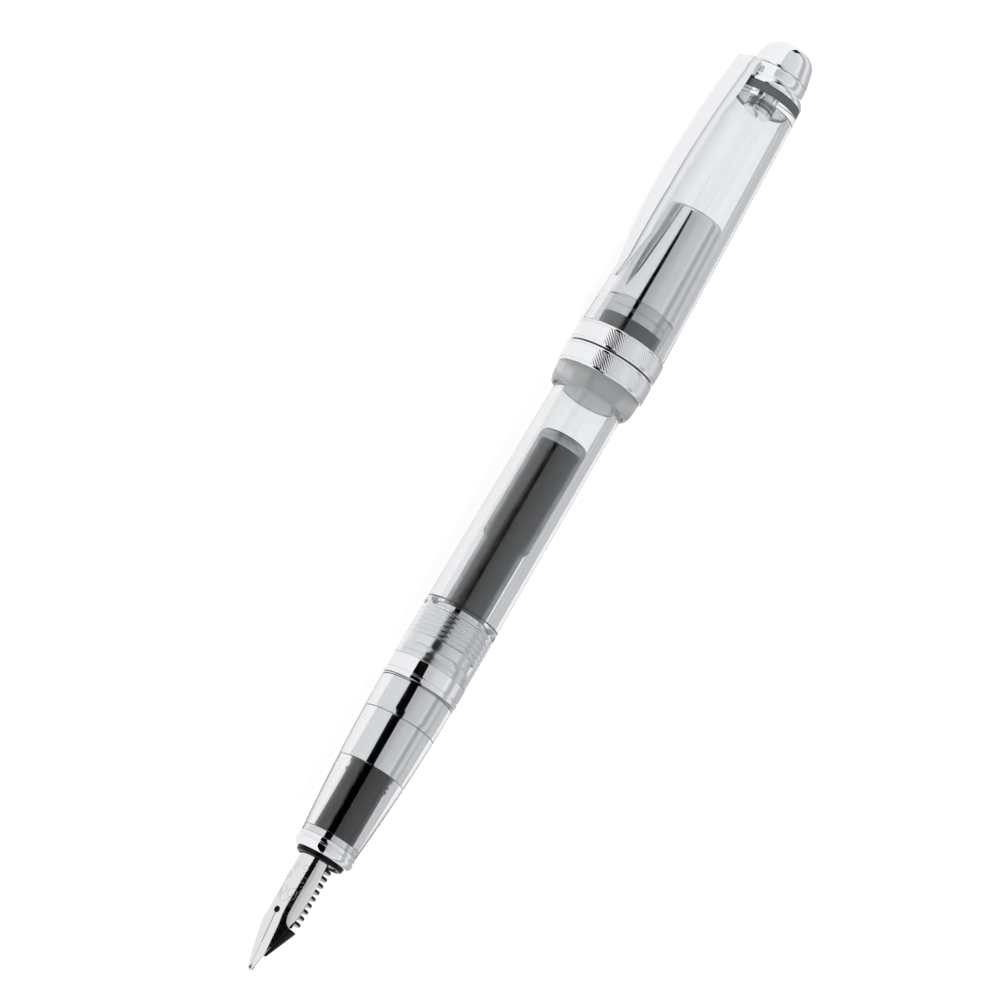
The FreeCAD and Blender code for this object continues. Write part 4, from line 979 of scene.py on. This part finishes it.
def knurl(name, front, back_end):
    """The knurled belt alone: slanted ridges round a closed ring."""
    ridges = int(2 * math.pi * band_radius / KNURL_PITCH)
    columns = ridges * len(RIDGE_SHAPE)
    start = front + BAND_BEAD + BELT_GAP
    width = back_end - front - 2 * (BAND_BEAD + BELT_GAP)
    floor = band_radius - BELT_DEPTH
    bpy.ops.mesh.primitive_circle_add(vertices=columns, radius=floor * MM)
    belt = bpy.context.object
    belt.name = name
    for vertex in belt.data.vertices:
        vertex.co = (0, vertex.co.x, vertex.co.y)
    twist = width * math.tan(KNURL_SLANT) / band_radius
    rows = [(0.0, True)]
    rows += [(k / (KNURL_ROWS - 1), False) for k in range(KNURL_ROWS)]
    rows += [(1.0, True)]
    verts = []
    for share, low in rows:
        for i in range(columns):
            angle = 2 * math.pi * i / columns + twist * share
            rise = KNURL_DEPTH * RIDGE_SHAPE[i % len(RIDGE_SHAPE)]
            radius = floor if low else band_radius - KNURL_DEPTH + rise
            verts.append((
                (start + width * share) * MM,
                axis.y + radius * MM * math.sin(angle),
                axis.z + radius * MM * math.cos(angle),
            ))
    faces = []
    count = len(rows)
    for row in range(count):
        following = (row + 1) % count
        for i in range(columns):
            j = (i + 1) % columns
            here = row * columns
            there = following * columns
            faces.append((here + i, there + i, there + j, here + j))
    belt.data.clear_geometry()
    belt.data.from_pydata(verts, [], faces)
    bpy.ops.object.mode_set(mode="EDIT")
    bpy.ops.mesh.select_all(action="SELECT")
    bpy.ops.mesh.normals_make_consistent(inside=False)
    bpy.ops.object.mode_set(mode="OBJECT")
    bpy.ops.object.shade_smooth_by_angle(angle=CREASE)
    bpy.ops.object.select_all(action="DESELECT")
    return belt


for name, node, front, back_end in (
        ("lower_band", "cap_band_lower", band_front, band_split),
        ("upper_band", "cap_band_upper", upper_front, bands_back)):
    ring = turned(name, [
        (front, BAND_BORE),
        (back_end, BAND_BORE),
        (back_end, band_radius - BAND_EDGE, 0.04),
        (back_end - BAND_EDGE, band_radius, 0.10),
        (back_end - BAND_BEAD, band_radius, 0.05),
        (back_end - BAND_BEAD, band_radius - 0.12),
        (front + BAND_BEAD, band_radius - 0.12),
        (front + BAND_BEAD, band_radius, 0.05),
        (front + BAND_EDGE, band_radius, 0.10),
        (front, band_radius - BAND_EDGE, 0.04),
    ])
    ring = joined(ring, knurl(name + "_knurl", front, back_end))
    dress(ring, chrome, "cap", "chrome_plate", node)


# ---------------------------------------------------------------- gasket, collar, finial and screw
# A dark ring seals the cap's top round the collar's boss. Collar and finial are plated brass, drawn
# down on to the cap by a screw from inside. The collar has a slot for the clip's leg.
gasket_front, gasket_back, gasket_radius = ends("cap_gasket")
GASKET_HOLE = 4.22
gasket = turned("top_gasket", [
    (gasket_front, GASKET_HOLE),
    (gasket_back, GASKET_HOLE),
    (gasket_back, gasket_radius, 0.15),
    (gasket_front, gasket_radius, 0.15),
])
dress(gasket, nitrile, "cap", "seal_rubber", "cap_gasket")

clip_collar_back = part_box("clip_collar")[1].x / MM
finial_low, finial_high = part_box("finial")
finial_front = finial_low.x / MM
finial_top = finial_high.x / MM
CLIP_WIDTH = 4.1
CLIP_LEG = 2.7
CLIP_LEG_DEPTH = 2.35
CLIP_ROOT_HEIGHT = 6.97
SLOT_GAP = 0.20
COLLAR_BACK_RADIUS = 4.62
FINIAL_FRONT_RADIUS = 4.45
collar = turned("clip_ring", [
    (gasket_back + SEAT_GAP, GASKET_HOLE - SEAT_GAP),
    (gasket_front, GASKET_HOLE - SEAT_GAP, 0.1),
    (gasket_front, SCREW_HOLE),
    (clip_collar_back, SCREW_HOLE),
    (clip_collar_back, FINIAL_FRONT_RADIUS - 0.16, 0.10),
    (clip_collar_back - 0.30, FINIAL_FRONT_RADIUS + 0.02, 0.20),
    (gasket_back + 1.85, COLLAR_BACK_RADIUS - 0.14, 0.20),
    (gasket_back + 1.35, COLLAR_BACK_RADIUS, 0.15),
    (gasket_back + 0.95, COLLAR_BACK_RADIUS + 0.36, 0.20),
    (gasket_back + 0.35, CAP_TOP_RADIUS - 0.02, 0.15),
    (gasket_back + SEAT_GAP, CAP_TOP_RADIUS - 0.08, 0.08),
])
finial = turned("cap_finial", [
    (finial_front, SCREW_HOLE),
    (finial_front + 3.7, SCREW_HOLE),
    (finial_front + 3.7, 0),
    (finial_top, 0),
    (finial_top - 0.22, 1.6, 0.6),
    (finial_top - 0.90, 3.0, 0.5),
    (finial_top - 1.75, 3.74, 0.5),
    (finial_top - 2.8, 4.03, 0.5),
    (finial_front + 0.25, FINIAL_FRONT_RADIUS - 0.02, 0.12),
    (finial_front, FINIAL_FRONT_RADIUS - 0.17, 0.08),
])
leg_middle = gasket_back + (CLIP_LEG + SLOT_GAP) / 2
bpy.ops.mesh.primitive_cube_add(size=1)
slot_cutter = bpy.context.object
slot_cutter.scale = ((CLIP_LEG + SLOT_GAP + 1) * MM, (CLIP_WIDTH + 2 * SLOT_GAP) * MM, 5 * MM)
slot_cutter.location = ((-0.5) * MM, 0, (CLIP_ROOT_HEIGHT - CLIP_LEG_DEPTH - SLOT_GAP + 2.5) * MM)
bpy.ops.object.transform_apply(location=True, rotation=True, scale=True)
seated(slot_cutter, leg_middle, clip_roll)
cut_away(collar, slot_cutter)
dress(collar, chrome, "cap", "chrome_plate", "clip_collar")
dress(finial, chrome, "cap", "chrome_plate", "finial")

# A cheese-head screw, seen from inside the cap, with its driver slot.
screw_front, screw_back, screw_radius = ends("finial_screw")
screw = turned("finial_screw_body", [
    (screw_front, 0),
    (screw_front, screw_radius, 0.3),
    (screw_front + 1.18, screw_radius, 0.05),
    (screw_front + 1.18, 1.25),
    (screw_back, 1.25, 0.15),
    (screw_back, 0),
], steps=64)
bpy.ops.mesh.primitive_cube_add(size=1)
driver_slot = bpy.context.object
driver_slot.scale = (1.1 * MM, 0.6 * MM, 6 * MM)
bpy.ops.object.transform_apply(location=True, rotation=True, scale=True)
seated(driver_slot, screw_front, clip_roll + math.radians(40))
cut_away(screw, driver_slot)
dress(screw, chrome, "cap", "chrome_plate", "finial_screw")


# ---------------------------------------------------------------- clip
# One folded strip of plated spring steel: a crowned face with turned-down sides, drawn in to a narrow
# neck and a leaf-shaped foot that bears on the cap. Its leg stands in the collar's slot.
clip_low, clip_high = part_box("clip")
clip_tip = clip_low.x / MM
clip_back = clip_high.x / MM
clip_root = clip_back - CLIP_LEG
CLIP_TIP_HEIGHT = 6.80
CLIP_BOW = 1.09
CLIP_SHEET = 0.40
CLIP_SIDE = 1.30
CLIP_BEND = 0.55
CLIP_CROWN = 0.22
CLIP_TAPER_START = 14.4
CLIP_NECK = 2.9
CLIP_NECK_WIDTH = 2.2
CLIP_ROWS = 120
CLIP_COLUMNS = 48
FACE_SHARE = 0.5
BEND_SHARE = 0.3
ROOT_FLAT = 1.2
ROOT_DROP = 0.9
CAP_TAPER = (band_radius - 0.20 - CAP_TOP_RADIUS) / (cap_top - bands_back)


def cap_surface(x):
    """The cap's outside radius at a place along the pen."""
    return CAP_TOP_RADIUS + CAP_TAPER * (cap_top - x)


def clip_half_width(x):
    """Half the clip's width: parallel, then drawn in to the neck and the point."""
    from_tip = x - clip_tip
    if from_tip >= CLIP_TAPER_START:
        return CLIP_WIDTH / 2
    if from_tip >= CLIP_NECK:
        t = (from_tip - CLIP_NECK) / (CLIP_TAPER_START - CLIP_NECK)
        return CLIP_NECK_WIDTH / 2 + (CLIP_WIDTH - CLIP_NECK_WIDTH) / 2 * t ** 0.85
    return max(0.10, CLIP_NECK_WIDTH / 2 * (from_tip / CLIP_NECK) ** 0.7)


def clip_face(x):
    """Height of the clip's face above the pen's axis."""
    t = (x - clip_tip) / (clip_root - clip_tip)
    return CLIP_TIP_HEIGHT + (CLIP_ROOT_HEIGHT - CLIP_TIP_HEIGHT) * t + 4 * CLIP_BOW * t * (1 - t)


def clip_side_depth(x):
    """Depth of the turned-down sides; over the foot they reach nearly to the cap."""
    from_tip = x - clip_tip
    to_cap = clip_face(x) - cap_surface(x) - 0.07
    whole = max(1 - smooth_step(from_tip, 6.0, 10.0), smooth_step(x, clip_root - 9, clip_root - 1))
    depth = CLIP_SIDE * (1 - whole) + to_cap * whole
    return max(0.25, min(depth, to_cap))


bpy.ops.mesh.primitive_grid_add(x_subdivisions=CLIP_ROWS, y_subdivisions=CLIP_COLUMNS, size=2)
clip = bpy.context.object
clip.name = "spring_clip"
for vertex in clip.data.vertices:
    x = clip_tip + 0.05 + (clip_back - 0.25 - clip_tip) * (vertex.co.x + 1) / 2
    across = vertex.co.y
    side = math.copysign(1, across)
    reach = abs(across)
    half = clip_half_width(x)
    height = clip_face(min(x, clip_root))
    bend = min(CLIP_BEND, half * 0.5)
    crown = CLIP_CROWN * half / (CLIP_WIDTH / 2)
    bend_depth = min(bend, clip_side_depth(x) * 0.5)
    if reach < FACE_SHARE:
        share = reach / FACE_SHARE
        y = (half - bend) * share
        z = height - crown * share * share
    elif reach < FACE_SHARE + BEND_SHARE:
        turn = (reach - FACE_SHARE) / BEND_SHARE * math.pi / 2
        y = half - bend + bend * math.sin(turn)
        z = height - crown - bend_depth * (1 - math.cos(turn))
    else:
        y = half
        drop = (reach - FACE_SHARE - BEND_SHARE) / (1 - FACE_SHARE - BEND_SHARE)
        lowest = height - clip_side_depth(x)
        top = height - crown - bend_depth
        z = top + (min(lowest, top) - top) * drop
    if x > clip_root + ROOT_FLAT:
        past = (x - clip_root - ROOT_FLAT) / (clip_back - clip_root - ROOT_FLAT)
        z -= ROOT_DROP * past ** 2
    vertex.co = (x * MM, side * y * MM, z * MM)
fold = clip.modifiers.new("fold", "SOLIDIFY")
fold.thickness = CLIP_SHEET * MM
fold.offset = -1
fold.use_even_offset = False
bpy.ops.object.modifier_apply(modifier="fold")
bpy.ops.object.shade_smooth_by_angle(angle=CREASE)

bpy.ops.mesh.primitive_cube_add(size=1)
leg = bpy.context.object
leg.scale = ((CLIP_LEG - 0.1) * MM, (CLIP_WIDTH - 0.1) * MM, (CLIP_LEG_DEPTH - 0.35) * MM)
leg.location = ((clip_root + CLIP_LEG / 2) * MM, 0, (CLIP_ROOT_HEIGHT - CLIP_LEG_DEPTH / 2 - 0.3) * MM)
bpy.ops.object.transform_apply(location=True, rotation=True, scale=True)
soft = leg.modifiers.new("soft", "BEVEL")
soft.width = 0.3 * MM
soft.segments = 4
bpy.ops.object.modifier_apply(modifier="soft")
bpy.ops.object.shade_smooth_by_angle(angle=CREASE)
clip = joined(clip, leg)
seated(clip, 0, clip_roll)
dress(clip, chrome, "clip", "chrome_plate", "clip")
